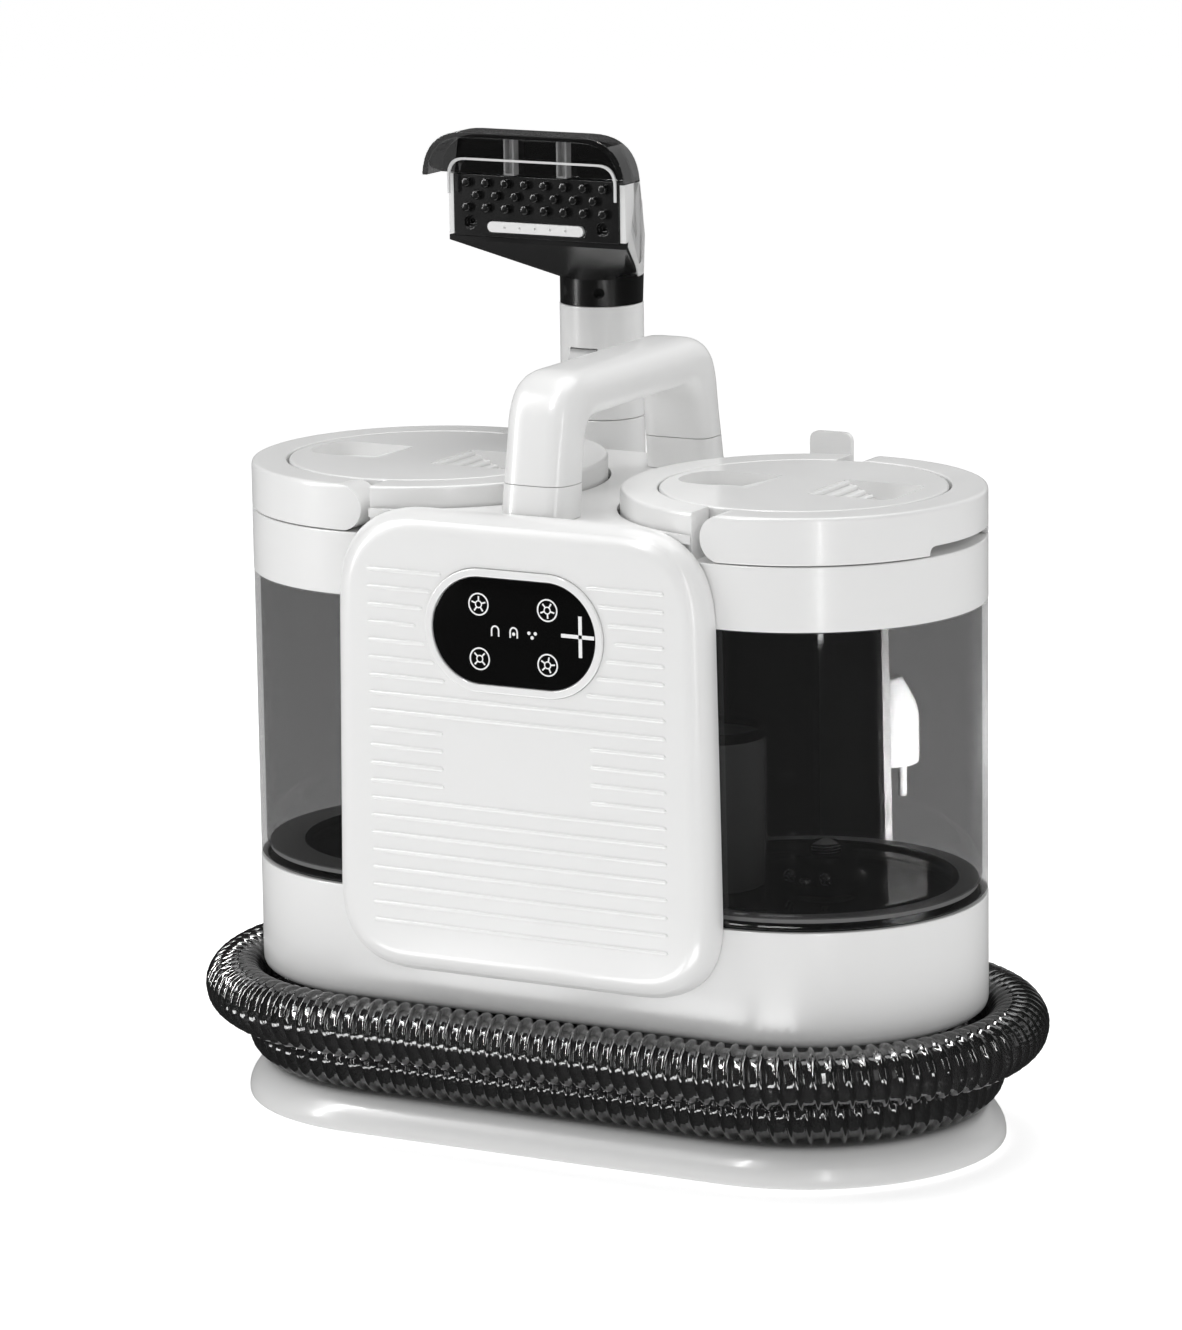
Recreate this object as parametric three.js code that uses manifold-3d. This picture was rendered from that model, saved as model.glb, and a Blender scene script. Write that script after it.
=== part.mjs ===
// A spot and carpet cleaning machine: two round tanks on a motor base, a carry handle,
// a suction hose wound round the foot and a hand tool standing in a clip at the back.
// Millimetres, +Z up, the front faces -Y, and the machine stands on z = 0. Pieces are drawn about
// the line midway between the tanks, and the whole is moved so that its box is centred on the origin.
import * as THREE from "three";
import { ConvexGeometry } from "three/addons/geometries/ConvexGeometry.js";
import { mergeVertices } from "three/addons/utils/BufferGeometryUtils.js";
import Module from "manifold-3d";

const wasm = await Module();
wasm.setup();

// ---------------------------------------------------------------- driving dimensions
const GAP = 0.3; // clear space between neighbouring pieces
const TANK_R = 92; // outside radius of a tank
const TANK_X = 107.5; // distance of a tank's axis from the middle of the machine
const TRAY_TOP = 20;
const HOUSING_BOTTOM = 71;
const SEAT = 130.6; // where the tanks stand
const GLASS_TOP = 281;
const BAND_TOP = 314;
const TOP = 338;
const DECK = 327;
const FACE_Y = 107; // front and rear covers stand out to here
const COVER_HALF = 104; // half the width of those covers at the top
const COVER_FLARE = 4; // and how much wider they are at the bottom
const COVER_BOTTOM = 92;
const BAIL_Z = (BAND_TOP + TOP) / 2; // height of the bail handles' pivots
const RING_IN = 74; // inside radius of a bail handle
const RIM_IN = 73.2; // inside radius of the fixed rim, which the lid turns in
const NECK_R = 72.6; // outside radius of a tank's neck, which the bail's round ends turn past
const GROOVE_R = 66.5; // the wall behind the hose, about each tank's axis
const HOSE_D = 32;
const HOSE_R = HOSE_D / 2;
const LOWER_TURN = { rho: 85, z: TRAY_TOP + HOSE_R + 1 };
const UPPER_TURN = { rho: 107, z: LOWER_TURN.z + 23.5 };
const TOOL = { x: -76, y: 131 }; // axis of the hand tool, behind the rear cover
const TUBE_R = 22.3;
const HOOK_X = 59; // the cord hooks and the cord wound on them
const HOOK_TOP = 303;
const HOOK_BOTTOM = 155;
const GLAND = { x: -30, y: FACE_Y + 9, z: 296 }; // where the power cord leaves the rear cover
const CORD_D = 6.4;
const PLUG = { x: 80, y: 149, z: 163 }; // middle of the plug's pin face
const BEZEL_PROUD = 1.6; // the control bezel stands out of the panel by this
const BACK_SHIFT = (TOOL.y + TUBE_R - FACE_Y - BEZEL_PROUD) / 2; // middle of the machine, front to back

// ---------------------------------------------------------------- materials
const plastic = (color, roughness = 0.35) => new THREE.MeshStandardMaterial({ color, roughness });
const white = () => plastic(0xf4f4f2, 0.32);
const black = () => plastic(0x161618, 0.4);
const grey = () => plastic(0x8e9194, 0.5);
const smoke = () =>
  new THREE.MeshStandardMaterial({ color: 0x3a3c3e, roughness: 0.08, transparent: true, opacity: 0.4 });
const rubber = () => plastic(0x202020, 0.85);
const steel = () => new THREE.MeshStandardMaterial({ color: 0xb8babd, roughness: 0.3, metalness: 1 });
const castMetal = () => new THREE.MeshStandardMaterial({ color: 0x8c8f92, roughness: 0.4, metalness: 0.8 });
const circuitGreen = () => plastic(0x1e5b34, 0.6);

// ---------------------------------------------------------------- solids and booleans
const machine = new THREE.Group();
machine.name = "carpet_cleaner";

function solid(geometry) {
  const bare = geometry.clone();
  bare.deleteAttribute("normal");
  bare.deleteAttribute("uv");
  const merged = mergeVertices(bare, 1e-4);
  const mesh = new wasm.Mesh({
    numProp: 3,
    vertProperties: merged.attributes.position.array,
    triVerts: new Uint32Array(merged.index.array),
  });
  return new wasm.Manifold(mesh);
}

function geometryOf(body) {
  const mesh = body.getMesh();
  const geometry = new THREE.BufferGeometry();
  geometry.setAttribute("position", new THREE.BufferAttribute(mesh.vertProperties, 3));
  geometry.setIndex(new THREE.BufferAttribute(mesh.triVerts, 1));
  const faceted = geometry.toNonIndexed();
  faceted.computeVertexNormals();
  return faceted;
}

const join = (...bodies) => bodies.reduce((a, b) => a.add(b));
const cut = (body, ...tools) => tools.reduce((a, b) => a.subtract(b), body);

function add(name, body, material, parent = machine) {
  const mesh = new THREE.Mesh(geometryOf(body), material);
  mesh.name = name;
  parent.add(mesh);
  return mesh;
}

// ---------------------------------------------------------------- shapes
// A box from its low and high corners.
function box(x0, y0, z0, x1, y1, z1) {
  const geometry = new THREE.BoxGeometry(x1 - x0, y1 - y0, z1 - z0);
  return solid(geometry.translate((x0 + x1) / 2, (y0 + y1) / 2, (z0 + z1) / 2));
}

// A turned piece from (radius, z) points, about the vertical line through x, y.
function turned(points, x = 0, y = 0, segments = 32) {
  const profile = points.map(([r, z]) => new THREE.Vector2(r, z));
  const geometry = new THREE.LatheGeometry(profile, segments).rotateX(Math.PI / 2);
  const body = solid(geometry.translate(x, y, 0));
  return body.volume() < 0 ? solid(flipped(geometry)) : body;
}

function flipped(geometry) {
  const whole = geometry.toNonIndexed();
  const p = whole.attributes.position;
  for (let i = 0; i < p.count; i += 3) {
    const a = new THREE.Vector3().fromBufferAttribute(p, i);
    const b = new THREE.Vector3().fromBufferAttribute(p, i + 1);
    p.setXYZ(i, b.x, b.y, b.z);
    p.setXYZ(i + 1, a.x, a.y, a.z);
  }
  return whole;
}

const disc = (r, z0, z1, x = 0, y = 0, segments = 24) =>
  turned([[0, z0], [r, z0], [r, z1], [0, z1]], x, y, segments);
const pipe = (inner, outer, z0, z1, x = 0, y = 0, segments = 32) =>
  turned([[inner, z0], [outer, z0], [outer, z1], [inner, z1], [inner, z0]], x, y, segments);

// A bar of radius r along Y from y0 to y1.
function barY(r, x, z, y0, y1, segments = 16) {
  const geometry = new THREE.CylinderGeometry(r, r, y1 - y0, segments);
  return solid(geometry.translate(x, (y0 + y1) / 2, z));
}

// A bar of radius r along X from x0 to x1.
function barX(r, y, z, x0, x1, segments = 24) {
  const geometry = new THREE.CylinderGeometry(r, r, x1 - x0, segments).rotateZ(Math.PI / 2);
  return solid(geometry.translate((x0 + x1) / 2, y, z));
}

// An outline pulled up from z0 to z1, with its top and bottom edges rounded by round.
function slab(shape, z0, z1, { round = 0, roundSteps = 2, curve = 12 } = {}) {
  const geometry = new THREE.ExtrudeGeometry(shape, {
    depth: z1 - z0 - 2 * round,
    curveSegments: curve,
    bevelEnabled: round > 0,
    bevelSize: round,
    bevelThickness: round,
    bevelOffset: -round,
    bevelSegments: roundSteps,
  });
  return solid(geometry.translate(0, 0, z0 + round));
}

// The same for an outline drawn in X and Z, reaching from y0 (front) to y1 (back).
function plate(shape, y0, y1, options) {
  return slab(shape, -y1, -y0, options).rotate([90, 0, 0]);
}

// The same for an outline drawn in Y and Z, reaching from x0 to x1.
function sideways(shape, x0, x1, options) {
  return slab(shape, x0, x1, options).rotate([90, 0, 0]).rotate([0, 0, 90]);
}

// Two half circles joined by straight sides, long in X.
function stadium(r, half = TANK_X, cx = 0, cy = 0) {
  const shape = new THREE.Shape();
  shape.absarc(cx + half, cy, r, -Math.PI / 2, Math.PI / 2, false);
  shape.absarc(cx - half, cy, r, Math.PI / 2, (3 * Math.PI) / 2, false);
  shape.closePath();
  return shape;
}

// A rectangle with its corners rounded by r (bottom) and rTop (top).
function roundRect(x0, y0, x1, y1, r, rTop = r) {
  const shape = new THREE.Shape();
  shape.absarc(x1 - r, y0 + r, r, -Math.PI / 2, 0, false);
  shape.absarc(x1 - rTop, y1 - rTop, rTop, 0, Math.PI / 2, false);
  shape.absarc(x0 + rTop, y1 - rTop, rTop, Math.PI / 2, Math.PI, false);
  shape.absarc(x0 + r, y0 + r, r, Math.PI, 1.5 * Math.PI, false);
  shape.closePath();
  return shape;
}

// A polygon whose corner [x, y, reach] is rounded over that distance along both of its sides.
function softPolygon(corners) {
  const at = (i) => new THREE.Vector2(...corners[(i + corners.length) % corners.length].slice(0, 2));
  const shape = new THREE.Shape();
  corners.forEach(([x, y, reach], i) => {
    const corner = at(i);
    const before = at(i - 1).sub(corner).setLength(reach).add(corner);
    const after = at(i + 1).sub(corner).setLength(reach).add(corner);
    if (i === 0) shape.moveTo(before.x, before.y);
    else shape.lineTo(before.x, before.y);
    shape.quadraticCurveTo(x, y, after.x, after.y);
  });
  shape.closePath();
  return shape;
}

// The outline of the front and rear covers, a little wider at the foot than at the top.
function coverOutline(inset, top, foot, shoulder) {
  const low = COVER_HALF + COVER_FLARE - inset;
  const high = COVER_HALF - inset;
  const z0 = COVER_BOTTOM + inset;
  const z1 = top - inset;
  return softPolygon([
    [low, z0, foot - inset],
    [high, z1, shoulder - inset],
    [-high, z1, shoulder - inset],
    [-low, z0, foot - inset],
  ]);
}

function polygon(points) {
  return new THREE.Shape(points.map(([x, y]) => new THREE.Vector2(x, y)));
}

function hull(points) {
  return solid(new ConvexGeometry(points.map((p) => new THREE.Vector3(...p))));
}

// A round tube along a smooth route, for a hose or a cord.
function routed(points, r, sides, steps) {
  const section = new THREE.Shape();
  for (let i = 0; i < sides; i++) {
    const a = (2 * Math.PI * i) / sides;
    const move = i === 0 ? "moveTo" : "lineTo";
    section[move](r * Math.cos(a), r * Math.sin(a));
  }
  const path = new THREE.CatmullRomCurve3(points.map((p) => new THREE.Vector3(...p)));
  return solid(new THREE.ExtrudeGeometry(section, { steps, extrudePath: path }));
}

// ---------------------------------------------------------------- foot and motor base
function baseTray() {
  const skin = slab(stadium(101), -TRAY_TOP, TRAY_TOP, { round: 8, roundSteps: 1 });
  const below = box(-260, -130, -40, 260, 130, 1.5);
  const hollow = slab(stadium(90), -5, TRAY_TOP - 5);
  return cut(skin, below, hollow);
}

function rubberFoot(x, y) {
  return turned([[0, 0], [9.5, 0], [11, 1.5], [11, TRAY_TOP - 5.3], [0, TRAY_TOP - 5.3]], x, y, 20);
}

// The wall behind the hose, with a row of upright vents in its front.
function grooveCore() {
  const wall = cut(
    slab(stadium(GROOVE_R), TRAY_TOP + GAP, HOUSING_BOTTOM - GAP),
    slab(stadium(GROOVE_R - 3), TRAY_TOP - 5, HOUSING_BOTTOM + 5),
  );
  const pitch = 7.7;
  const slots = [];
  for (let i = -8; i <= 8; i++)
    slots.push(box(i * pitch - 1.9, -75, 48, i * pitch + 1.9, -60, HOUSING_BOTTOM - 4));
  return cut(wall, ...slots);
}

// The hose leaves the back of the foot through a cuff that turns it along the groove.
function hoseConnector() {
  const { rho, z } = LOWER_TURN;
  const bore = barX(HOSE_R - 4, rho, z, -20, 14);
  const cuff = barX(HOSE_R, rho, z, -10 + GAP, 22);
  const root = box(4, GROOVE_R + GAP, z - 13, 20, rho - 2, z + 13);
  return cut(join(cuff, root), bore);
}

function lowerHousing() {
  const skin = slab(stadium(TANK_R), HOUSING_BOTTOM, SEAT + 20, { round: 5, roundSteps: 1 });
  const above = box(-260, -130, SEAT - GAP, 260, 130, 200);
  const inside = slab(stadium(85), HOUSING_BOTTOM + 4, 200);
  const ledge = slab(stadium(88.6), SEAT - 5, 200);
  return cut(skin, above, inside, ledge);
}

// Closes the motor base and carries both tanks on two round dishes.
function housingLid() {
  const lid = slab(stadium(88.2), SEAT - 4.6, SEAT - GAP);
  const dish = (x) => disc(77, SEAT - 3, SEAT + 5, x, 0, 32);
  const valveHole = disc(15, 100, 150, TANK_X + 11, 0);
  const pipeHole = disc(14.4, 100, 150, -TANK_X, 0);
  return cut(lid, dish(TANK_X), dish(-TANK_X), valveHole, pipeHole);
}

const seatRing = (x) => pipe(72.5, 76.6, SEAT - 3 + GAP, SEAT + 0.1, x, 0);

// ---------------------------------------------------------------- inside the motor base
const FAN_X = -32;
const vacuumMotor = () =>
  turned(
    [[0, 76], [36, 76], [38, 78], [38, 98], [20, 98], [20, 100.4], [3, 100.4], [3, 113], [0, 113]],
    FAN_X, 0, 24,
  );
const fanHousing = () =>
  turned(
    [[22, 100.8], [50, 100.8], [52, 103], [52, 119], [50, 121], [17, 121], [17, 118.6], [49.6, 118.6],
      [49.6, 103.2], [22, 103.2], [22, 100.8]],
    FAN_X, 0, 24,
  );

function fanImpeller() {
  const backPlate = disc(46, 104, 105.5, FAN_X);
  const hub = disc(9, 105, 116, FAN_X, 0);
  const blades = [];
  for (let i = 0; i < 9; i++)
    blades.push(box(8, -0.9, 105, 45, 0.9, 115).rotate([0, 0, 40 * i]).translate([FAN_X, 0, 0]));
  return cut(join(backPlate, hub, ...blades), disc(3.3, 90, 120, FAN_X, 0));
}

const pumpBody = () =>
  join(box(62, -24, 76, 112, 16, 104), barY(13, 87, 106, -24, 16), disc(6, 100, 118, 87, -10));

// ---------------------------------------------------------------- the covers between the tanks
// The space between the two tanks, cut off square at x = half; clear keeps it off them.
function waist(half, y, clear) {
  const r = TANK_R + clear;
  const lift = Math.asin(Math.sqrt(r * r - (TANK_X - half) ** 2) / r);
  const shape = new THREE.Shape();
  shape.moveTo(-half, -y);
  shape.lineTo(half, -y);
  shape.absarc(TANK_X, 0, r, Math.PI + lift, Math.PI - lift, true);
  shape.lineTo(half, y);
  shape.lineTo(-half, y);
  shape.absarc(-TANK_X, 0, r, lift, -lift, true);
  shape.closePath();
  return shape;
}

const centreColumn = () =>
  cut(
    slab(waist(70, 92, 0.8), SEAT, DECK - 5, { curve: 16 }),
    slab(waist(66, 89.4, 3.6), 100, DECK + 5, { curve: 16 }),
  );

function deckCover() {
  const outline = roundRect(-COVER_HALF, -92, COVER_HALF, FACE_Y, 2, 10);
  const whole = slab(outline, DECK - 4.7, DECK, { curve: 6 });
  const round = (x) => disc(TANK_R + 1.5, DECK - 20, DECK + 20, x, 0, 48);
  return cut(whole, round(TANK_X), round(-TANK_X));
}

function rearCover() {
  const skin = plate(coverOutline(0, DECK - 5, 40, 8), 80, FACE_Y, { round: 5, curve: 6 });
  const front = box(-130, 60, 60, 130, TANK_R + 1, 360);
  const shell = cut(skin, front, plate(coverOutline(3, DECK - 5, 40, 8), 60, FACE_Y - 3, { curve: 6 }));
  const cordBoss = box(GLAND.x - 14, FACE_Y - 1, GLAND.z - 9, GLAND.x, GLAND.y + 9, GLAND.z + 9);
  return join(shell, cordBoss);
}

// ---------------------------------------------------------------- front panel with its controls
const RIB = { first: 299.5, pitch: 9.04, count: 21, half: 84 };
const CONTROL = { z: 273.2, r: 27.3, half: 18.9 };

// Each row of ribs is whole, or in two parts round the controls and the bare patch below them.
function ribInnerEnd(row) {
  const away = Math.abs(RIB.first - row * RIB.pitch - CONTROL.z);
  if (row < 7) return 56.4 - 0.48 * away - 0.004 * away * away;
  if (row > 8 && row < 13) return 41.5;
  return 0;
}

const controlOval = (wider) => stadium(CONTROL.r + wider, CONTROL.half, 0, CONTROL.z);

function frontPanel() {
  const skin = plate(coverOutline(0, 330, 44, 48), -FACE_Y, -60, { round: 9, curve: 6 });
  const back = box(-130, -TANK_R - 0.5, 60, 130, 0, 360);
  const hollow = plate(coverOutline(4, 330, 44, 48), -FACE_Y + 3, -60, { curve: 6 });
  const recess = plate(controlOval(4.3), -FACE_Y - 5, -FACE_Y + 1.7);
  const ribs = [];
  for (let row = 0; row < RIB.count; row++) {
    const z = RIB.first - row * RIB.pitch;
    const inner = ribInnerEnd(row);
    const spans = inner ? [[-RIB.half, -inner], [inner, RIB.half]] : [[-RIB.half, RIB.half]];
    for (const [x0, x1] of spans) ribs.push(box(x0, -FACE_Y - 0.9, z - 0.9, x1, -FACE_Y + 0.5, z + 0.9));
  }
  return cut(join(cut(skin, back, hollow), ...ribs), recess);
}

const controlBezel = () =>
  cut(
    plate(controlOval(4), -FACE_Y - BEZEL_PROUD, -FACE_Y + 1.4),
    plate(controlOval(0), -FACE_Y - 5, -FACE_Y + 5),
  );
const controlGlass = () =>
  plate(controlOval(-GAP), -FACE_Y - 0.8, -FACE_Y + 1.4);
const controlBoard = () => box(-50, -100.6, 238, 50, -99, 308);

// ---------------------------------------------------------------- carry handle
const HANDLE_HALF = 19;
const HANDLE_SPLIT = 344; // the outer shell stops here and the feet go on

// The handle's side outline from its front foot over the top to its back foot.
function handleLine(front, back, top, lean, corner) {
  const shape = new THREE.Shape();
  const shoulder = top - corner;
  shape.moveTo(front, DECK + GAP);
  shape.lineTo(front + lean * 0.7, shoulder);
  shape.quadraticCurveTo(front + lean, top, front + lean + corner, top);
  shape.lineTo(back - lean - corner, top);
  shape.quadraticCurveTo(back - lean, top, back - lean * 0.7, shoulder);
  shape.lineTo(back, DECK + GAP);
  return shape;
}

function handleParts() {
  const outer = handleLine(-92, 95, 398, 13, 24);
  const inner = handleLine(-65, 67, 374.5, 5, 14);
  const middle = (extra) => {
    const line = handleLine(-79 - extra, 81 + extra, 386 + extra, 9, 19);
    line.lineTo(81 + extra, 300);
    line.lineTo(-79 - extra, 300);
    return sideways(line, -40, 40, { curve: 6 });
  };
  const arch = cut(
    sideways(outer, -HANDLE_HALF, HANDLE_HALF, { round: 7, curve: 5 }),
    sideways(inner, -40, 40, { curve: 6 }),
  );
  const feet = box(-40, -150, 300, 40, 150, HANDLE_SPLIT);
  const above = box(-40, -150, HANDLE_SPLIT + GAP, 40, 150, 450);
  const shell = cut(arch.intersect(above), middle(GAP));
  const core = join(arch.intersect(feet), arch.intersect(middle(0)));
  return { shell, core };
}

// ---------------------------------------------------------------- cord hooks and tool clip
// An arm out of the rear cover that ends in a finger; up is 1 for the upper hook, -1 for the lower.
function cordHook(z, up, reach) {
  const root = z - 6 * up;
  const end = z + reach * up;
  const arm = box(HOOK_X - 8, FACE_Y + GAP, Math.min(z, root), HOOK_X + 8, 133, Math.max(z, root));
  const finger = roundRect(HOOK_X - 12, Math.min(root, end), HOOK_X + 12, Math.max(root, end), 4);
  return join(arm, plate(finger, 129.5, 133, { curve: 4 }));
}

// A C-shaped clip on the rear cover: the tool's cuff drops in and rests on its ledge.
function toolClip() {
  const { x, y } = TOOL;
  const ring = join(pipe(TUBE_R + 0.7, 26.6, 279, 318, x, y), pipe(20.2, 26.6, 279, 284.4, x, y));
  const bracket = cut(box(x - 17, FACE_Y + GAP, 279, x + 17, y - 10, 318), disc(26, 200, 400, x, y));
  const mouth = box(x - 18, y + 12, 200, x + 18, y + 60, 400);
  const wall = box(x - 40, 60, 200, x + 40, FACE_Y + GAP, 400);
  return cut(join(ring, bracket), mouth, wall);
}

// ---------------------------------------------------------------- tanks
const CAP_R = 72.4;

function tankGroup(side) {
  const group = new THREE.Group();
  group.position.set(side * TANK_X, 0, 0);
  machine.add(group);
  return group;
}

function tankGlass(hole) {
  const foot = SEAT + 0.4;
  const top = GLASS_TOP - 0.2;
  const glass = turned([
    [0, foot], [89.8, foot], [91.8, foot + 2], [91.8, top], [88.8, top],
    [88.8, foot + 5], [86.8, foot + 3], [0, foot + 3],
  ]);
  return cut(glass, hole);
}

// The white band with the neck for the cap and, towards the machine's middle, the fixed half of the rim.
function tankCollar(side) {
  const foot = GLASS_TOP + 0.1;
  const ledge = BAND_TOP - GAP;
  const band = turned([
    [TANK_R, foot], [TANK_R, ledge], [NECK_R, ledge], [NECK_R, TOP - 7], [70.6, TOP - 7],
    [70.6, 302], [NECK_R, 302], [NECK_R, 309], [88.9, 309], [88.9, foot], [TANK_R, foot],
  ]);
  const rim = pipe(72, TANK_R, BAND_TOP - 1, TOP);
  const outerHalf = side > 0 ? box(-16.6, -100, 300, 100, 100, 350) : box(-100, -100, 300, 16.6, 100, 350);
  const pins = barY(3.5, 0, BAIL_Z, -80, 80);
  return cut(join(band, cut(rim, outerHalf, disc(RIM_IN, 300, TOP + 5, 0, 0, 32))), pins);
}

// A press-in cap with a thumb dish on one side of its grip bar and a sloping finger pocket on the other.
function tankCap() {
  const cap = turned([
    [0, 322], [64, 322], [64, 306], [69.8, 306], [69.8, 317.7], [68, 317.7], [68, 321.3], [69.8, 321.3],
    [69.8, TOP - 6.6], [CAP_R, TOP - 6.6], [CAP_R, TOP], [0, TOP],
  ]);
  const dish = slab(stadium(19, 4, -44, 0), TOP - 7, TOP + 8, { round: 5, curve: 6 });
  const pocket = hull([
    [12, -22, TOP + 1], [12, 22, TOP + 1], [12, -22, TOP - 0.5], [12, 22, TOP - 0.5],
    [58, -22, TOP + 1], [58, 22, TOP + 1], [38, -22, TOP - 10], [38, 22, TOP - 10],
    [58, -22, TOP - 10], [58, 22, TOP - 10],
  ]);
  return cut(cap, dish, pocket);
}

const capGasket = () => pipe(68.3, 70.3, 318, 321);

// A half-ring handle with fully rounded ends, turning about the line across the tank's middle.
function bail(side) {
  const ring = pipe(RING_IN, TANK_R, BAND_TOP + GAP, TOP - 0.1);
  const r = (TOP - BAND_TOP) / 2 - GAP;
  const low = side > 0 ? 0 : -100;
  const half = box(low, -100, 300, low + 100, 100, 350);
  const ends = barY(r, 0, BAIL_Z, -100, 100, 24);
  const sockets = barY(3.8, 0, BAIL_Z, -84.6, 84.6);
  const inner = side > 0 ? 70 : -100;
  const finger = box(inner, -34, 300, inner + 30, 34, BAND_TOP + 5);
  return cut(ring.intersect(join(half, ends)), sockets, finger);
}

const bailPin = (front) => (front < 0 ? barY(3.3, 0, BAIL_Z, -84, -70.9) : barY(3.3, 0, BAIL_Z, 70.9, 84));

function sharedTankPieces(side, name, group) {
  add(`${name}_collar`, tankCollar(side), white(), group);
  add(`${name}_cap`, tankCap(), white(), group);
  add(`${name}_gasket`, capGasket(), rubber(), group);
  add(`${name}_bail`, bail(side), white(), group);
  add(`${name}_pin_front`, bailPin(-1), steel(), group);
  add(`${name}_pin_rear`, bailPin(1), steel(), group);
}

// ---------------------------------------------------------------- clean water tank, right
const VALVE_X = 11;
const FLOOR = SEAT + 3.4;

const valveBody = () =>
  turned(
    [
      [4.4, SEAT - 0.6], [12, SEAT - 0.6], [12, FLOOR + GAP], [21, FLOOR + GAP], [21, FLOOR + 5],
      [16, FLOOR + 7], [16, FLOOR + 17], [4.4, FLOOR + 17], [4.4, SEAT - 0.6],
    ],
    VALVE_X, 0, 24,
  );
const valvePlunger = () =>
  turned(
    [
      [0, SEAT - 2], [4.1, SEAT - 2], [4.1, FLOOR + 17 + GAP], [7.5, FLOOR + 17 + GAP],
      [7.5, FLOOR + 20], [3, FLOOR + 23], [0, FLOOR + 23],
    ],
    VALVE_X, 0, 16,
  );
const innerCup = () =>
  turned(
    [[0, FLOOR + GAP], [27, FLOOR + GAP], [27, 216], [25, 216], [25, FLOOR + 4], [0, FLOOR + 4]],
    -40, -24, 28,
  );

function cleanTank() {
  const group = tankGroup(1);
  add("tank_right_glass", tankGlass(disc(12.3, 100, 150, VALVE_X, 0)), smoke(), group);
  sharedTankPieces(1, "tank_right", group);
  add("valve_body", valveBody(), black(), group);
  add("valve_plunger", valvePlunger(), steel(), group);
  add("inner_cup", innerCup(), grey(), group);
}

// ---------------------------------------------------------------- dirty water tank, left
const standpipe = () =>
  turned([
    [11.4, SEAT + 0.4], [14, SEAT + 0.4], [14, FLOOR + GAP], [22, FLOOR + GAP], [22, FLOOR + 4],
    [14, FLOOR + 6], [14, 288], [11.4, 288], [11.4, SEAT + 0.4],
  ], 0, 0, 24);
const floatRing = () =>
  turned([[14.8, 146], [28, 146], [31, 149], [31, 172], [28, 175], [14.8, 175], [14.8, 146]], 0, 0, 24);

function dirtyTank() {
  const group = tankGroup(-1);
  add("tank_left_glass", tankGlass(disc(14.3, 100, 150)), smoke(), group);
  sharedTankPieces(-1, "tank_left", group);
  add("standpipe", standpipe(), grey(), group);
  add("float_ring", floatRing(), white(), group);
}

// ---------------------------------------------------------------- hand tool
const SEAM = 341; // the tube above and the hose cuff below meet here
const COLLAR = 402;
const FACE = { y: -70, half: 52, z0: 441, z1: 476 };
const TRIGGER = { half: 7.5, z0: 349, z1: 379 };

function toolTube() {
  const tube = pipe(14, TUBE_R, SEAM + GAP, COLLAR - GAP, 0, 0, 28);
  const { half, z0, z1 } = TRIGGER;
  const pocket = box(-half - 0.5, -30, z0 - 0.6, half + 0.5, -15.4, z1 + 0.6);
  return cut(tube, pocket);
}

const toolCuff = () =>
  turned(
    [[13, 262], [19.5, 262], [19.5, 285], [TUBE_R, 285], [TUBE_R, SEAM], [13, SEAM], [13, 262]],
    0, 0, 28,
  );

function toolTrigger() {
  const { half, z0, z1 } = TRIGGER;
  const outline = [[-19.6, z0], [-25, z0 + 2], [-27, z0 + 8], [-25, z1 - 6], [-21.5, z1], [-19.6, z1]];
  return sideways(polygon(outline), -half, half);
}

// The head flares from the tube to its wide face, with a raised duct up to the lip.
function toolHead() {
  const ring = [];
  for (let i = 0; i < 24; i++) {
    const a = (2 * Math.PI * i) / 24;
    for (const z of [COLLAR, COLLAR + 14]) ring.push([22 * Math.cos(a), 22 * Math.sin(a), z]);
  }
  const { y, half, z0, z1 } = FACE;
  const mirrored = (x, py, z) => [[x, py, z], [-x, py, z]];
  const lower = hull([...ring, ...mirrored(18, 16, 436)]);
  const flare = hull([
    ...ring.filter(([, , z]) => z > COLLAR),
    ...mirrored(half, y, z0),
    ...mirrored(half, y, z1),
    ...mirrored(half - 2, y + 20, z1),
    ...mirrored(18, 16, 436),
  ]);
  const duct = hull([
    ...mirrored(half - 1, y + 3.4, z1 - 6),
    ...mirrored(half - 4, y + 3.4, 494),
    ...mirrored(half - 10, y + 16, 494),
    ...mirrored(24, 2, 456),
    ...mirrored(18, 15, 438),
  ]);
  const plateSpace = box(-half + 3, y - 5, z0 + 2.5, half - 3, y + 7, z1 + 5);
  return cut(join(lower, flare, duct), plateSpace);
}

// Everything below the slanting seam is the black underside, with the front half of the collar.
function headSeam(extra) {
  const seam = 441.5 - extra;
  const line = [[-extra, 390], [-extra, 416], [FACE.y + 7, seam], [-140, seam], [-140, 390]];
  return sideways(polygon(line), -80, 80);
}

function toolFace() {
  const { y, half, z0, z1 } = FACE;
  const face = box(-half + 3.3, y - 1, z0 + 2.8, half - 3.3, y + 6.7, z1);
  const nubs = [];
  for (let row = 0; row < 3; row++)
    for (let i = 0; i < 8 - (row % 2); i++) {
      const x = (i - (7 - (row % 2)) / 2) * 11.5;
      nubs.push(barY(2.6, x, z0 + 18 + 6.5 * row, y - 4, y, 6));
    }
  const slot = box(-29, y - 5, z0 + 5, 29, y + 1.2, z0 + 11.4);
  return cut(join(face, ...nubs), slot);
}

const sprayBar = () =>
  plate(stadium(2.8, 25.4, 0, FACE.z0 + 8.2), FACE.y - 2, FACE.y + 0.9, { curve: 6 });

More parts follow.
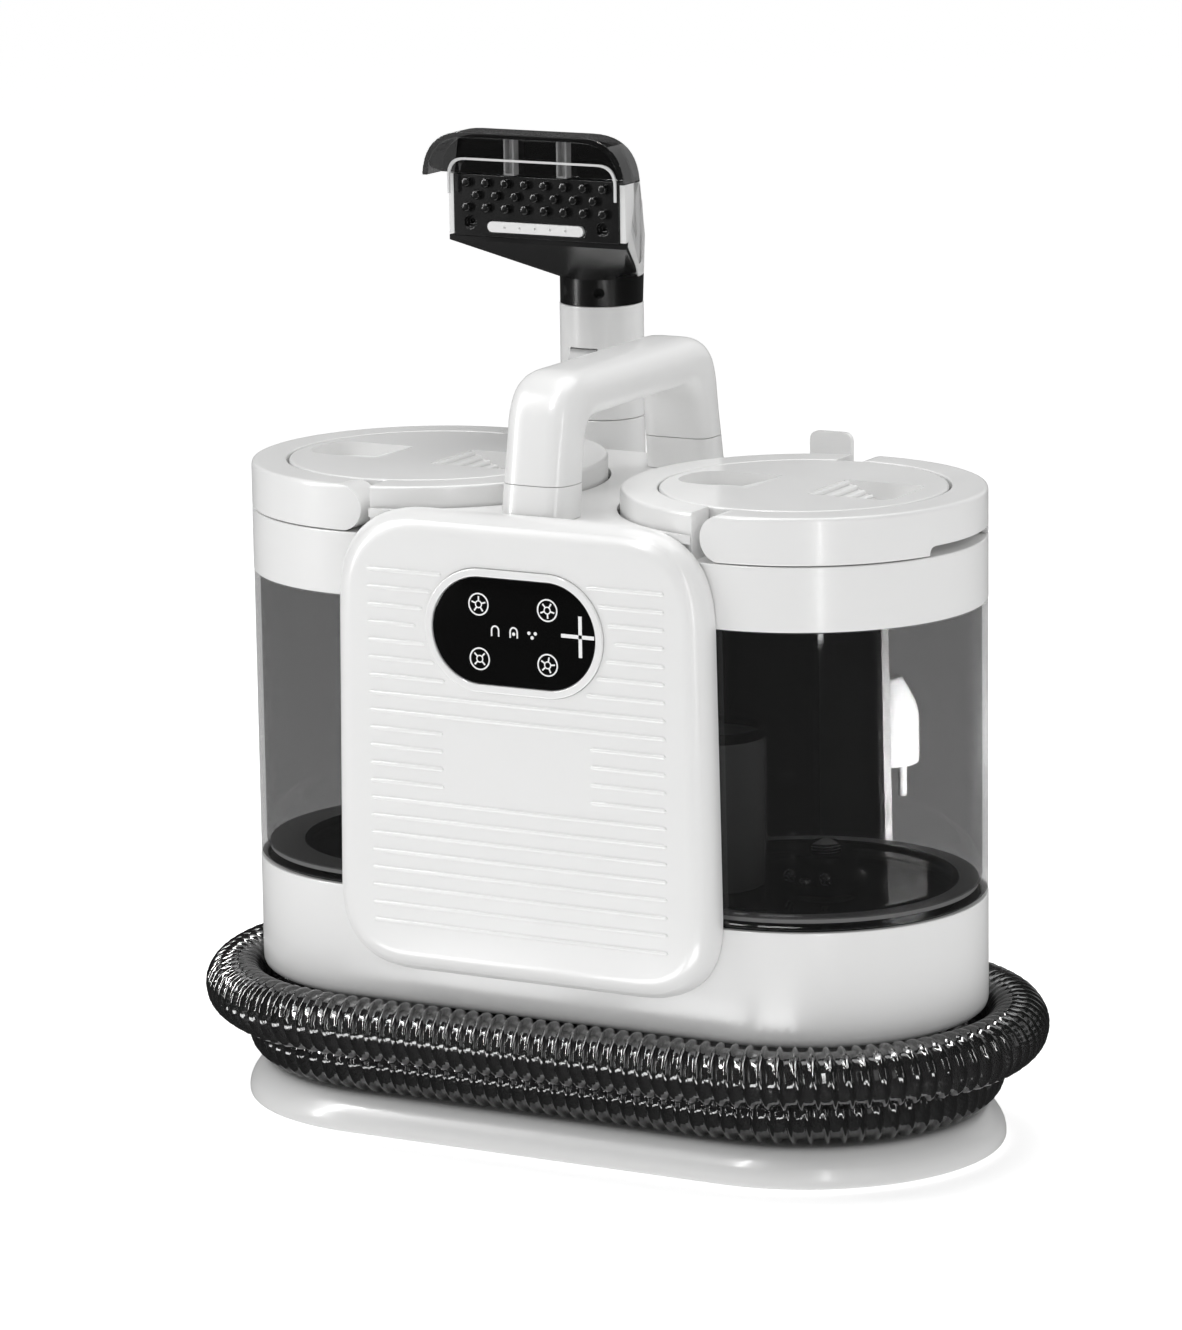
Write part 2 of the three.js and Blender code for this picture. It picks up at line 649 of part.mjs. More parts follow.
// A clear hood over the suction slot: an arched rim that stands out past the face, open below.
function toolLip() {
  const arch = (inset) => roundRect(-59.5 + inset, 460, 59.5 - inset, 500 - inset, 1, 20 - inset);
  const hood = cut(
    plate(arch(0), FACE.y - 15, FACE.y + 3, { curve: 6 }),
    plate(arch(3), FACE.y - 30, FACE.y, { curve: 6 }),
  );
  return cut(hood, box(-80, -120, 440, 80, 0, FACE.z1 + 0.4));
}

function handTool() {
  const group = new THREE.Group();
  group.position.set(TOOL.x, TOOL.y, 0);
  machine.add(group);
  const head = toolHead();
  add("tool_tube", toolTube(), white(), group);
  add("tool_cuff", toolCuff(), white(), group);
  add("tool_trigger", toolTrigger(), black(), group);
  add("tool_shell", cut(head, headSeam(0)), white(), group);
  add("tool_neck", head.intersect(headSeam(GAP)), black(), group);
  add("tool_face", toolFace(), black(), group);
  add("tool_spray_bar", sprayBar(), white(), group);
  add("tool_lip", toolLip(), smoke(), group);
}

// ---------------------------------------------------------------- hose and power cord
// Half a turn round one end of the machine, from the back to the front.
function halfTurn(side, { rho, z }) {
  const points = [];
  for (let i = 0; i <= 8; i++) {
    const a = (Math.PI * i) / 8;
    points.push([side * (TANK_X + rho * Math.sin(a)), rho * Math.cos(a), z]);
  }
  return points;
}

function hoseRoute() {
  const low = LOWER_TURN;
  const high = UPPER_TURN;
  const along = (turn, y, ...xs) => xs.map((x) => [x, y * turn.rho, turn.z]);
  const turnRound = (turn) => [
    ...halfTurn(-1, turn),
    ...along(turn, -1, -60, 0, 60),
    ...halfTurn(1, turn).reverse(),
  ];
  return [
    ...along(low, 1, -10, -60),
    ...turnRound(low),
    [70, 94, 47],
    [30, 105, high.z],
    ...along(high, 1, -20, -65),
    ...turnRound(high),
    [82, 111, 70],
    [52, 122, 83],
    [24, 128, 106],
    [-8, 131, 134],
    [-38, 131.5, 166],
    [-62, 131.5, 202],
    [-74.5, TOOL.y, 236],
    [TOOL.x, TOOL.y, 250],
    [TOOL.x, TOOL.y, 262 - GAP],
  ];
}

// The cord is wound over both hooks; its turns are one hank, and its two ends lie free.
function cordHank() {
  const inner = 2.5 * CORD_D;
  const thick = 3 * CORD_D;
  const middle = (HOOK_TOP + HOOK_BOTTOM) / 2;
  const half = (HOOK_TOP - HOOK_BOTTOM) / 2 - inner + 2.5;
  const ring = (r) => {
    const shape = new THREE.Shape();
    shape.absarc(HOOK_X, middle + half, r, 0, Math.PI, false);
    shape.absarc(HOOK_X, middle - half, r, Math.PI, 2 * Math.PI, false);
    shape.closePath();
    return shape;
  };
  return cut(
    plate(ring(inner + thick), FACE_Y + 1, FACE_Y + 1 + thick, { curve: 12 }),
    plate(ring(inner), 60, 160, { curve: 12 }),
  );
}

const CORD_LEAD = [
  [-7, 116, 296], [1, 116, 295.7], [11, 116.5, 291.5], [17, 117, 282], [19.5, 118, 268], [20.2, 118.5, 250],
];
const CORD_TAIL = [
  [36, 131, 292], [33.5, 132.5, 280], [29, 137, 262], [25, 143.5, 246], [24.5, 148, 232],
  [28, 149, 218], [36, 149, 208.5], [44, 149, 205], [52.2, 149, 205],
];

const cordGland = () =>
  turned([[0, GAP], [7, GAP], [7, 3], [4.8, 22.6], [0, 22.6]], 0, 0, 16)
    .rotate([0, 90, 0])
    .translate([GLAND.x, GLAND.y, GLAND.z]);

// A moulded angled mains plug with two round pins pointing down and its cord leaving sideways.
function mainsPlug() {
  const { x, y, z } = PLUG;
  const bodyShape = [[0, z], [18.5, z], [18.5, z + 30], [14, z + 38], [9, z + 46], [0, z + 46]];
  const body = turned(bodyShape, x, y, 24);
  const nose = barX(6.5, y, z + 42, x - 27.5, x, 16);
  const pinShape = [[0, z - 19], [1.6, z - 19], [2.4, z - 17.5], [2.4, z + 2], [0, z + 2]];
  const pins = [-1, 1].map((s) => turned(pinShape, x + s * 8.4, y + s * 4.5, 10));
  return join(body, nose, ...pins);
}

// ---------------------------------------------------------------- the whole machine
add("base_tray", baseTray(), white());
for (const [end, y] of [["front", -52], ["rear", 52]])
  for (const [side, x] of [["left", -130], ["right", 130]])
    add(`foot_${end}_${side}`, rubberFoot(x, y), rubber());
add("groove_core", grooveCore(), grey());
add("hose_connector", hoseConnector(), black());
add("lower_housing", lowerHousing(), white());
add("housing_lid", housingLid(), black());
add("seat_ring_right", seatRing(TANK_X), rubber());
add("seat_ring_left", seatRing(-TANK_X), rubber());
add("vacuum_motor", vacuumMotor(), castMetal());
add("fan_housing", fanHousing(), black());
add("fan_impeller", fanImpeller(), grey());
add("water_pump", pumpBody(), black());
add("centre_column", centreColumn(), black());
add("deck_cover", deckCover(), white());
add("rear_cover", rearCover(), white());
add("front_panel", frontPanel(), white());
add("control_bezel", controlBezel(), white());
add("control_glass", controlGlass(), black());
add("control_board", controlBoard(), circuitGreen());
const handle = handleParts();
add("handle_shell", handle.shell, white());
add("handle_core", handle.core, white());
add("cord_hook_upper", cordHook(HOOK_TOP, 1, 38), white());
add("cord_hook_lower", cordHook(HOOK_BOTTOM, -1, 25), white());
add("tool_clip", toolClip(), white());
cleanTank();
dirtyTank();
handTool();
add("hose_tube", routed(hoseRoute(), HOSE_R, 8, 72), black());
add("cord_hank", cordHank(), rubber());
add("cord_lead", routed(CORD_LEAD, CORD_D / 2, 8, 8), rubber());
add("cord_tail", routed(CORD_TAIL, CORD_D / 2, 8, 8), rubber());
add("cord_gland", cordGland(), rubber());
add("mains_plug", mainsPlug(), white());
machine.position.y = -BACK_SHIFT;

export default machine;
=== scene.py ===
"""The looks of a portable carpet cleaner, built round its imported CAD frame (Blender 4.5).

Pieces are drawn in millimetres about the line midway between the tanks, as the CAD is, and place()
turns a drawn point into metres in the frame.
"""

from math import asin, cos, pi, radians, sin, sqrt

import bmesh
import bpy
from mathutils import Matrix, Vector


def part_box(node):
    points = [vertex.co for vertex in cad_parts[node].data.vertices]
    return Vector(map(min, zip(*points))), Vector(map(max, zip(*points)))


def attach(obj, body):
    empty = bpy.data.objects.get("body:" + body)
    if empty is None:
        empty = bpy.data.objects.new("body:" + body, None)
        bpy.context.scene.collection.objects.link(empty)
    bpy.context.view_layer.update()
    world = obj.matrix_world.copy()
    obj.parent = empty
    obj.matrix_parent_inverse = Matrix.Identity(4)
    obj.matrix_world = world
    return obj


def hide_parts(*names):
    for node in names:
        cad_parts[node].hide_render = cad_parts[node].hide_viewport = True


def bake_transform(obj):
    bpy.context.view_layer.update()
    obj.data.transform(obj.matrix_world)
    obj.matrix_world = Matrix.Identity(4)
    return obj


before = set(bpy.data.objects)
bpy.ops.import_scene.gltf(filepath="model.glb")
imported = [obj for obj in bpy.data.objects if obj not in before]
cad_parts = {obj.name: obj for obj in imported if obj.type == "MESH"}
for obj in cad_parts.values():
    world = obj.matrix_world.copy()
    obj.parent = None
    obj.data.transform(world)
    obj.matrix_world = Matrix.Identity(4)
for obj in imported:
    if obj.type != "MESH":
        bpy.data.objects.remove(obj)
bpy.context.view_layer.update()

MM = 0.001
TANK_AXIS = sum(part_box("tank_right_glass"), Vector()) / 2
ORIGIN = Vector((0, TANK_AXIS.y, 0))


def place(point):
    return ORIGIN + Vector(point) * MM


def drawn(node):
    """Lowest and highest corner of a CAD node, in drawing millimetres."""
    low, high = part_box(node)
    return (low - ORIGIN) / MM, (high - ORIGIN) / MM


# --- sizes, read from the frame
TANK_X = TANK_AXIS.x / MM
TANK_R = drawn("tank_right_collar")[1].x - TANK_X
SEAT = drawn("lower_housing")[1].z
HOUSING_BOTTOM = drawn("lower_housing")[0].z
GLASS_LOW, GLASS_TOP = (corner.z for corner in drawn("tank_right_glass"))
TOP = drawn("tank_right_collar")[1].z
BAIL_LOW = drawn("tank_right_bail")[0].z
BAIL_Z = (drawn("tank_right_pin_front")[0].z + drawn("tank_right_pin_front")[1].z) / 2
CAP_R = drawn("tank_right_cap")[1].x - TANK_X
DECK = drawn("deck_cover")[1].z
FACE_Y = drawn("deck_cover")[1].y
COVER_HALF = drawn("deck_cover")[1].x
COVER_FLARE = 4
COVER_BOTTOM = drawn("front_panel")[0].z
PANEL_TOP = drawn("front_panel")[1].z
TRAY_TOP = drawn("base_tray")[1].z
HOOK_X = sum(corner.x for corner in drawn("cord_hook_upper")) / 2
TOOL_X = sum(corner.x for corner in drawn("tool_tube")) / 2
TOOL_Y = sum(corner.y for corner in drawn("tool_tube")) / 2
TUBE_R = drawn("tool_tube")[1].x - TOOL_X
FLOOR = GLASS_LOW + 3

# --- camera
VIEW_AZIMUTH, VIEW_ELEVATION, VIEW_ROLL = (radians(a) for a in (28.39, 11.93, -0.83))
VIEW_DISTANCE = 3.1253
VIEW_TARGET = place((-14.8, 0, 235.3))


def add_camera():
    data = bpy.data.cameras.new("camera")
    data.sensor_width = 36
    data.lens = 165.17
    data.clip_end = 50
    camera = bpy.data.objects.new("camera", data)
    bpy.context.scene.collection.objects.link(camera)
    level = cos(VIEW_ELEVATION)
    back = Vector((sin(VIEW_AZIMUTH) * level, -cos(VIEW_AZIMUTH) * level, sin(VIEW_ELEVATION)))
    camera.rotation_mode = "QUATERNION"
    camera.location = VIEW_TARGET + back * VIEW_DISTANCE
    turn = Matrix.Rotation(VIEW_ROLL, 3, back)
    camera.rotation_quaternion = (turn @ (-back).to_track_quat("-Z", "Y").to_matrix()).to_quaternion()
    bpy.context.scene.camera = camera


add_camera()

# --- materials


def feed(tree, socket, value):
    """Gives a socket a value, or the output of another node."""
    if isinstance(value, bpy.types.NodeSocket):
        tree.links.new(value, socket)
    else:
        socket.default_value = value


class Nodes:
    """A material's node tree, with short calls for the few nodes that the materials here use."""

    def __init__(self, name):
        self.material = bpy.data.materials.new(name)
        self.material.use_nodes = True
        self.tree = self.material.node_tree
        self.shader = self.tree.nodes["Principled BSDF"]
        self.place = self.tree.nodes.new("ShaderNodeTexCoord").outputs["Object"]

    def add(self, kind, **inputs):
        node = self.tree.nodes.new("ShaderNode" + kind)
        for name, value in inputs.items():
            self.set(node.inputs[name.replace("_", " ")], value)
        return node

    def set(self, socket, value):
        feed(self.tree, socket, value)

    def base(self, **inputs):
        for name, value in inputs.items():
            self.set(self.shader.inputs[name.replace("_", " ")], value)
        return self

    def noise(self, scale, detail=3.0, roughness=0.5):
        node = self.add("TexNoise", Vector=self.place, Scale=scale, Detail=detail, Roughness=roughness)
        return node.outputs["Fac"]

    def between(self, factor, low, high):
        """A number that runs from low to high as factor runs from 0.3 to 0.7."""
        node = self.add("MapRange", Value=factor)
        for name, value in (("From Min", 0.3), ("From Max", 0.7), ("To Min", low), ("To Max", high)):
            node.inputs[name].default_value = value
        return node.outputs["Result"]

    def blend(self, factor, first, second):
        node = self.tree.nodes.new("ShaderNodeMix")
        node.data_type = "RGBA"
        self.set(node.inputs["Factor"], factor)
        self.set(node.inputs[6], first)
        self.set(node.inputs[7], second)
        return node.outputs[2]

    def bump(self, height, depth, strength=1.0):
        node = self.add("Bump", Height=height, Distance=depth, Strength=strength)
        self.set(self.shader.inputs["Normal"], node.outputs["Normal"])
        return self


def grey(level, tint=0.0):
    return (level, level, level * (1 - tint), 1)


def moulded(name, level, roughness, spread=0.025, grain=0.000008, coat=0.0, tint=0.0):
    """Moulded plastic: faint flow marks in its colour and gloss, and a very fine grain."""
    n = Nodes(name)
    flow = n.noise(14, 2)
    n.base(
        Base_Color=n.blend(flow, grey(level * 0.992, tint), grey(level, tint)),
        Roughness=n.between(n.noise(60, 4), roughness - spread, roughness + spread), Coat_Weight=coat,
        Coat_Roughness=0.12, IOR=1.5
    )
    return n.bump(n.noise(2600, 2), grain, 0.6).material


def smoked(name, level, alpha, roughness=0.03):
    """Clear smoked plastic: what is behind it shows, darkened, and it reflects like a window."""
    n = Nodes(name)
    n.base(
        Base_Color=grey(level), Alpha=alpha,
        Roughness=n.between(n.noise(35, 3), roughness, roughness + 0.03), IOR=1.55, Coat_Weight=0.6,
        Coat_Roughness=0.03
    )
    return n.bump(n.noise(9, 1), 0.0003, 0.25).material


def rubber(name, level, roughness):
    n = Nodes(name)
    n.base(
        Base_Color=n.blend(n.noise(90, 3), grey(level * 0.85), grey(level * 1.1)),
        Roughness=n.between(n.noise(300, 3), roughness - 0.08, roughness + 0.05)
    )
    return n.bump(n.noise(1800, 3), 0.00005, 0.7).material


def metal(name, level, roughness, stretch=1.0):
    """Metal with fine tool marks, which stretch draws out round its axis."""
    n = Nodes(name)
    spread = n.add("Mapping", Vector=n.place)
    spread.inputs["Scale"].default_value = (1, 1, stretch)
    marks = n.add("TexNoise", Vector=spread.outputs["Vector"], Scale=900.0, Detail=4.0).outputs["Fac"]
    n.base(
        Base_Color=grey(level), Metallic=1.0, Roughness=n.between(marks, roughness - 0.07, roughness + 0.1)
    )
    return n.bump(marks, 0.00003, 0.5).material


def hose_skin():
    """Glossy smoked hose: the raised spiral is dense and the film between its turns lets light through."""
    n = Nodes("hose_skin")
    rib = n.add("Attribute")
    rib.attribute_name = "rib"
    dense = rib.outputs["Fac"]
    n.base(
        Base_Color=n.blend(dense, grey(0.02), grey(0.006)), Alpha=n.between(dense, 0.8, 0.98),
        Roughness=n.between(n.noise(120, 3), 0.06, 0.12), IOR=1.6, Coat_Weight=1.0, Coat_Roughness=0.05
    )
    return n.bump(n.noise(90, 2), 0.0002, 0.2).material


def circuit_board():
    n = Nodes("circuit_board")
    tracks = n.add("TexVoronoi", Vector=n.place, Scale=260.0)
    n.base(
        Base_Color=n.blend(tracks.outputs["Distance"], (0.02, 0.16, 0.06, 1), (0.05, 0.28, 0.1, 1)),
        Roughness=0.4
    )
    return n.bump(tracks.outputs["Distance"], 0.0002, 0.5).material


WHITE = moulded("white_satin", 0.86, 0.3, coat=0.25, tint=0.006)
WHITE_GLOSS = moulded("white_gloss", 0.87, 0.2, coat=0.4, tint=0.004)
BLACK = moulded("black_satin", 0.005, 0.24)
BLACK_MATTE = moulded("black_grained", 0.006, 0.42, grain=0.00005)
BLACK_GLASS = moulded("black_gloss_panel", 0.002, 0.1, spread=0.02, grain=0.000001)
GREY = moulded("grey_moulded", 0.28, 0.4)
GREY_LIGHT = moulded("light_grey_moulded", 0.55, 0.35)
PRINT = moulded("white_print", 0.9, 0.45, grain=0.000004)
SMOKE = smoked("smoked_tank", 0.012, 0.45)
SMOKE_CUP = smoked("smoked_cup", 0.42, 0.62, roughness=0.12)
SMOKE_LIP = smoked("smoked_lip", 0.004, 0.8)
SMOKE_RIB = smoked("smoked_rib", 0.4, 0.6, roughness=0.1)
# Near-white clear plastic for the lip's edge line: a painted highlight for the light that the clear edge
# catches.
LIP_EDGE_HIGHLIGHT = smoked("painted_edge_highlight", 0.9, 0.85, roughness=0.15)
HOSE = hose_skin()
SEAL = rubber("black_rubber", 0.02, 0.7)
CABLE = rubber("white_cable", 0.8, 0.42)
STEEL = metal("steel", 0.62, 0.25)
CAST = metal("cast_metal", 0.4, 0.42, stretch=6.0)
BOARD = circuit_board()

# --- solids, as (points, faces) in millimetres


def loft(rings, caps=True, loop=False):
    """Skins rings of points, each closed round; loop joins the last ring to the first."""
    size = len(rings[0])
    points = [tuple(p) for ring in rings for p in ring]
    faces = []
    count = len(rings)
    for i in range(count if loop else count - 1):
        here, there = i * size, (i + 1) % count * size
        for k in range(size):
            after = (k + 1) % size
            faces.append((here + k, here + after, there + after, there + k))
    if caps and not loop:
        faces.append(tuple(range(size))[::-1])
        faces.append(tuple(range((count - 1) * size, count * size)))
    return points, faces


def joined(*solids):
    """Several solids in one, side by side."""
    points, faces = [], []
    for more_points, more_faces in solids:
        start = len(points)
        points += more_points
        faces += [tuple(start + i for i in face) for face in more_faces]
    return points, faces


def moved(solid, matrix):
    return [tuple(matrix @ Vector(p)) for p in solid[0]], solid[1]


def shifted(solid, x=0.0, y=0.0, z=0.0):
    return moved(solid, Matrix.Translation((x, y, z)))


def bent(a, b, c, shares):
    """Points at some shares of the curve that leaves a towards b and comes to c from b."""
    a, b, c = Vector(a), Vector(b), Vector(c)
    return [tuple(a * (1 - t) ** 2 + b * 2 * t * (1 - t) + c * t * t) for t in shares]


def soft(corners, closed=True, steps=5):
    """An outline of corners (u, v, reach), each rounded over its reach along both of its sides."""
    points = []
    for i, corner in enumerate(corners):
        here = Vector(corner[:2])
        reach = corner[2] if len(corner) > 2 else 0
        if not reach or (not closed and i in (0, len(corners) - 1)):
            points.append(tuple(here))
            continue
        before, after = (Vector(corners[k % len(corners)][:2]) - here for k in (i - 1, i + 1))
        ends = (here + side.normalized() * reach for side in (before, after))
        points += bent(next(ends), here, next(ends), [k / steps for k in range(steps + 1)])
    return points


def hoop(u0, u1, v0, v1, low=0, high=0):
    """Corners of an upright section, rounded over low at its foot and over high at its top."""
    return [(u0, v0, low), (u1, v0, low), (u1, v1, high), (u0, v1, high)]


def angles(steps, whole=pi):
    return [whole * i / steps for i in range(steps + 1)]


def circle(r, x=0.0, y=0.0, steps=96):
    turns = [2 * pi * i / steps for i in range(steps)]
    return [(x + r * cos(a), y + r * sin(a)) for a in turns]


def stadium(r, half, x=0.0, y=0.0, steps=48):
    """Two half circles joined by straight sides, long in the first direction."""
    points = []
    for side in (1, -1):
        for i in range(steps + 1):
            a = pi * i / steps - pi / 2 * side
            points.append((x + side * half + r * cos(a), y + r * sin(a)))
    return points


def turned(profile, x=0.0, y=0.0, steps=96, loop=False):
    """A piece turned about a vertical line, from (radius, z) points."""
    rings = [[(px, py, z) for px, py in circle(r, x, y, steps)] for r, z in profile]
    return loft(rings, caps=not loop and profile[0][0] > 0, loop=loop)


def lathe(corners, x=0.0, y=0.0, steps=96):
    """A turned piece from (radius, z, reach) corners: a solid when they start on its axis, or else a ring."""
    ring = corners[0][0] > 0
    return turned(soft(corners, closed=ring), x, y, steps, loop=ring)


def run_round(profile, half=None, steps=48, loop=False):
    """The same for a piece as long as both tanks, with round ends."""
    half = TANK_X if half is None else half
    rings = [[(px, py, z) for px, py in stadium(max(r, 0.01), half, steps=steps)] for r, z in profile]
    return loft(rings, loop=loop)


def prism(outline, low, high):
    return loft([[(u, v, w) for u, v in outline] for w in (low, high)])


FRONTAL = Matrix(((1, 0, 0, 0), (0, 0, 1, 0), (0, 1, 0, 0), (0, 0, 0, 1)))  # (u, v, w) to x, z, y
SIDEWAYS = Matrix(((0, 0, 1, 0), (1, 0, 0, 0), (0, 1, 0, 0), (0, 0, 0, 1)))  # (u, v, w) to y, z, x


def plate(outline, y0, y1):
    """An outline drawn in X and Z, from y0 to y1."""
    return moved(prism(outline, y0, y1), FRONTAL)


def sideways(outline, x0, x1):
    """An outline drawn in Y and Z, from x0 to x1."""
    return moved(prism(outline, x0, x1), SIDEWAYS)


def block(x0, y0, z0, x1, y1, z1):
    return prism([(x0, y0), (x1, y0), (x1, y1), (x0, y1)], z0, z1)


def round_rect(x0, y0, x1, y1, reach):
    return soft(hoop(x0, x1, y0, y1, reach, reach), steps=6)


def along_y(r, x, z, y0, y1, steps=32):
    return plate(circle(r, x, z, steps), y0, y1)


def hull(points):
    """The closed surface stretched round some points."""
    bm = bmesh.new()
    for p in points:
        bm.verts.new(p)
    bmesh.ops.convex_hull(bm, input=bm.verts)
    loose = [v for v in bm.verts if not v.link_faces]
    bmesh.ops.delete(bm, geom=loose, context="VERTS")
    bmesh.ops.dissolve_limit(bm, angle_limit=radians(1), verts=bm.verts, edges=bm.edges)
    bm.verts.index_update()
    made = [tuple(v.co) for v in bm.verts], [tuple(v.index for v in f.verts) for f in bm.faces]
    bm.free()
    return made


# --- from solids to Blender pieces


def linked(name, data):
    made = bpy.data.objects.new(name, data)
    bpy.context.scene.collection.objects.link(made)
    return made


def scratch(solid):
    """A hidden working object of a solid, with its faces turned outwards."""
    mesh = bpy.data.meshes.new("scratch")
    mesh.from_pydata(solid[0], [], solid[1])
    bm = bmesh.new()
    bm.from_mesh(mesh)
    bmesh.ops.remove_doubles(bm, verts=bm.verts, dist=1e-3)
    bmesh.ops.recalc_face_normals(bm, faces=bm.faces)
    bm.to_mesh(mesh)
    bm.free()
    return linked("scratch", mesh)


def result(made):
    """The mesh that a working object's modifiers give; the working object goes."""
    graph = bpy.context.evaluated_depsgraph_get()
    mesh = bpy.data.meshes.new_from_object(made.evaluated_get(graph))
    bpy.data.objects.remove(made)
    return mesh


def boolean(operation, first, *others):
    target = scratch(first)
    tools = [scratch(other) for other in others]
    for tool in tools:
        modifier = target.modifiers.new("boolean", "BOOLEAN")
        modifier.operation = operation
        modifier.solver = "EXACT"
        modifier.object = tool
    mesh = result(target)
    for tool in tools:
        bpy.data.objects.remove(tool)
    return [tuple(v.co) for v in mesh.vertices], [tuple(f.vertices) for f in mesh.polygons]


def cut(first, *others):
    return boolean("DIFFERENCE", first, *others)


def union(first, *others):
    return boolean("UNION", first, *others)


def common(first, *others):
    return boolean("INTERSECT", first, *others)


def piece(name, solid, material, node=None, body="machine", edge=0.0):
    """A shown piece from a solid, its hard edges rounded by edge, on a body and in place of a CAD node."""
    made = scratch(solid)
    if edge:
        rounding = made.modifiers.new("edge", "BEVEL")
        rounding.width = edge
        rounding.segments = 3
        rounding.limit_method = "ANGLE"
        rounding.angle_limit = radians(38)
    mesh = result(made)
    mesh.transform(Matrix.Translation(ORIGIN) @ Matrix.Scale(MM, 4))
    mesh.name = name
    mesh.polygons.foreach_set("use_smooth", [True] * len(mesh.polygons))
    mesh.set_sharp_from_angle(angle=radians(34))
    mesh.materials.clear()
    mesh.materials.append(material)
    shown = linked(name, mesh)
    if edge:
        shown.modifiers.new("flat faces stay flat", "WEIGHTED_NORMAL").keep_sharp = True
    if node:
        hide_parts(node)
    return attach(shown, body)


# --- hose and power cord
HOSE_D = 0.032
HOSE_PITCH = 0.0078
RIB_DEPTH = 0.0026
LOW_TURN = {"rho": 0.085, "z": 0.037}
HIGH_TURN = {"rho": 0.107, "z": 0.0605}


def curve_through(points, step):
    """Evenly spaced points along one smooth curve through some points, in metres."""
    ends = [2 * points[0] - points[1], *points, 2 * points[-1] - points[-2]]
    fine = []
    for four in zip(ends, ends[1:], ends[2:], ends[3:]):
        knots = [0.0]
        for a, b in zip(four, four[1:]):
            knots.append(knots[-1] + max((b - a).length, 1e-6) ** 0.5)

        def mix(a, b, i, j, t, knots=knots):
            return a * ((knots[j] - t) / (knots[j] - knots[i])) + b * ((t - knots[i]) / (knots[j] - knots[i]))

        count = max(4, int((four[2] - four[1]).length / 0.001))
        for i in range(count):
            t = knots[1] + (knots[2] - knots[1]) * i / count
            first, second, third = (mix(four[k], four[k + 1], k, k + 1, t) for k in range(3))
            fine.append(mix(mix(first, second, 0, 2, t), mix(second, third, 1, 3, t), 1, 2, t))
    return spaced([*fine, points[-1]], step)


def spaced(points, step):
    gone = [0.0]
    for a, b in zip(points, points[1:]):
        gone.append(gone[-1] + (b - a).length)
    count = max(2, round(gone[-1] / step))
    out, i = [], 0
    for k in range(count + 1):
        want = gone[-1] * k / count
        while i < len(gone) - 2 and gone[i + 1] < want:
            i += 1
        share = (want - gone[i]) / max(gone[i + 1] - gone[i], 1e-9)
        out.append(points[i].lerp(points[i + 1], min(1.0, share)))
    return out


def half_turn(side, turn):
    """Half a turn round one end of the machine, from the back to the front."""
    angles = [pi * i / 8 for i in range(9)]
    half, rho = TANK_X * MM, turn["rho"]
    return [(side * (half + rho * sin(a)), rho * cos(a), turn["z"]) for a in angles]


def hose_route():
    def row(turn, y, *xs):
        return [(x, y * turn["rho"], turn["z"]) for x in xs]

    def round_machine(turn):
        return [*half_turn(-1, turn), *row(turn, -1, -0.06, 0, 0.06), *half_turn(1, turn)[::-1]]

    return [
        *row(LOW_TURN, 1, -0.01, -0.06), *round_machine(LOW_TURN), (0.07, 0.094, 0.047),
        (0.03, 0.105, 0.0605), *row(HIGH_TURN, 1, -0.02, -0.065), *round_machine(HIGH_TURN),
        (0.082, 0.111, 0.07), (0.052, 0.122, 0.083), (0.024, 0.128, 0.106), (-0.008, 0.131, 0.134),
        (-0.038, 0.1315, 0.166), (-0.062, 0.1315, 0.202), (-0.0745, 0.131, 0.236), (-0.076, 0.131, 0.25),
        (-0.076, 0.131, 0.2617)
    ]


def add_hose():
    """A spiral-ribbed tube: its radius and the rib value that its material reads follow one helix."""
    sides, steps_per_rib = 28, 9
    line = curve_through([ORIGIN + Vector(p) for p in hose_route()], HOSE_PITCH / steps_per_rib)
    rings, ribs = [], []
    across = Vector((0, 0, 1))
    for i, point in enumerate(line):
        ahead = (line[min(i + 1, len(line) - 1)] - line[max(i - 1, 0)]).normalized()
        across = (across - ahead * across.dot(ahead)).normalized()
        beside = ahead.cross(across)
        ring = []
        for k in range(sides):
            angle = 2 * pi * k / sides
            phase = cos(2 * pi * i / steps_per_rib - angle)
            rib = max(0.0, phase) ** 1.3
            radius = HOSE_D / 2 - RIB_DEPTH * (1 - rib)
            ring.append(point + (across * cos(angle) + beside * sin(angle)) * radius)
            ribs.append(rib)
        rings.append(ring)
    points, faces = loft(rings)
    mesh = bpy.data.meshes.new("suction_hose")
    mesh.from_pydata(points, [], faces)
    attribute = mesh.attributes.new("rib", "FLOAT", "POINT")
    attribute.data.foreach_set("value", ribs)
    mesh.polygons.foreach_set("use_smooth", [True] * len(mesh.polygons))
    mesh.materials.append(HOSE)
    hose = bpy.data.objects.new("suction_hose", mesh)
    bpy.context.scene.collection.objects.link(hose)
    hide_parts("hose_tube")
    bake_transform(hose)


CORD_D = 0.0064
HANK_Y = 0.1112
HANK_R = 3 * CORD_D


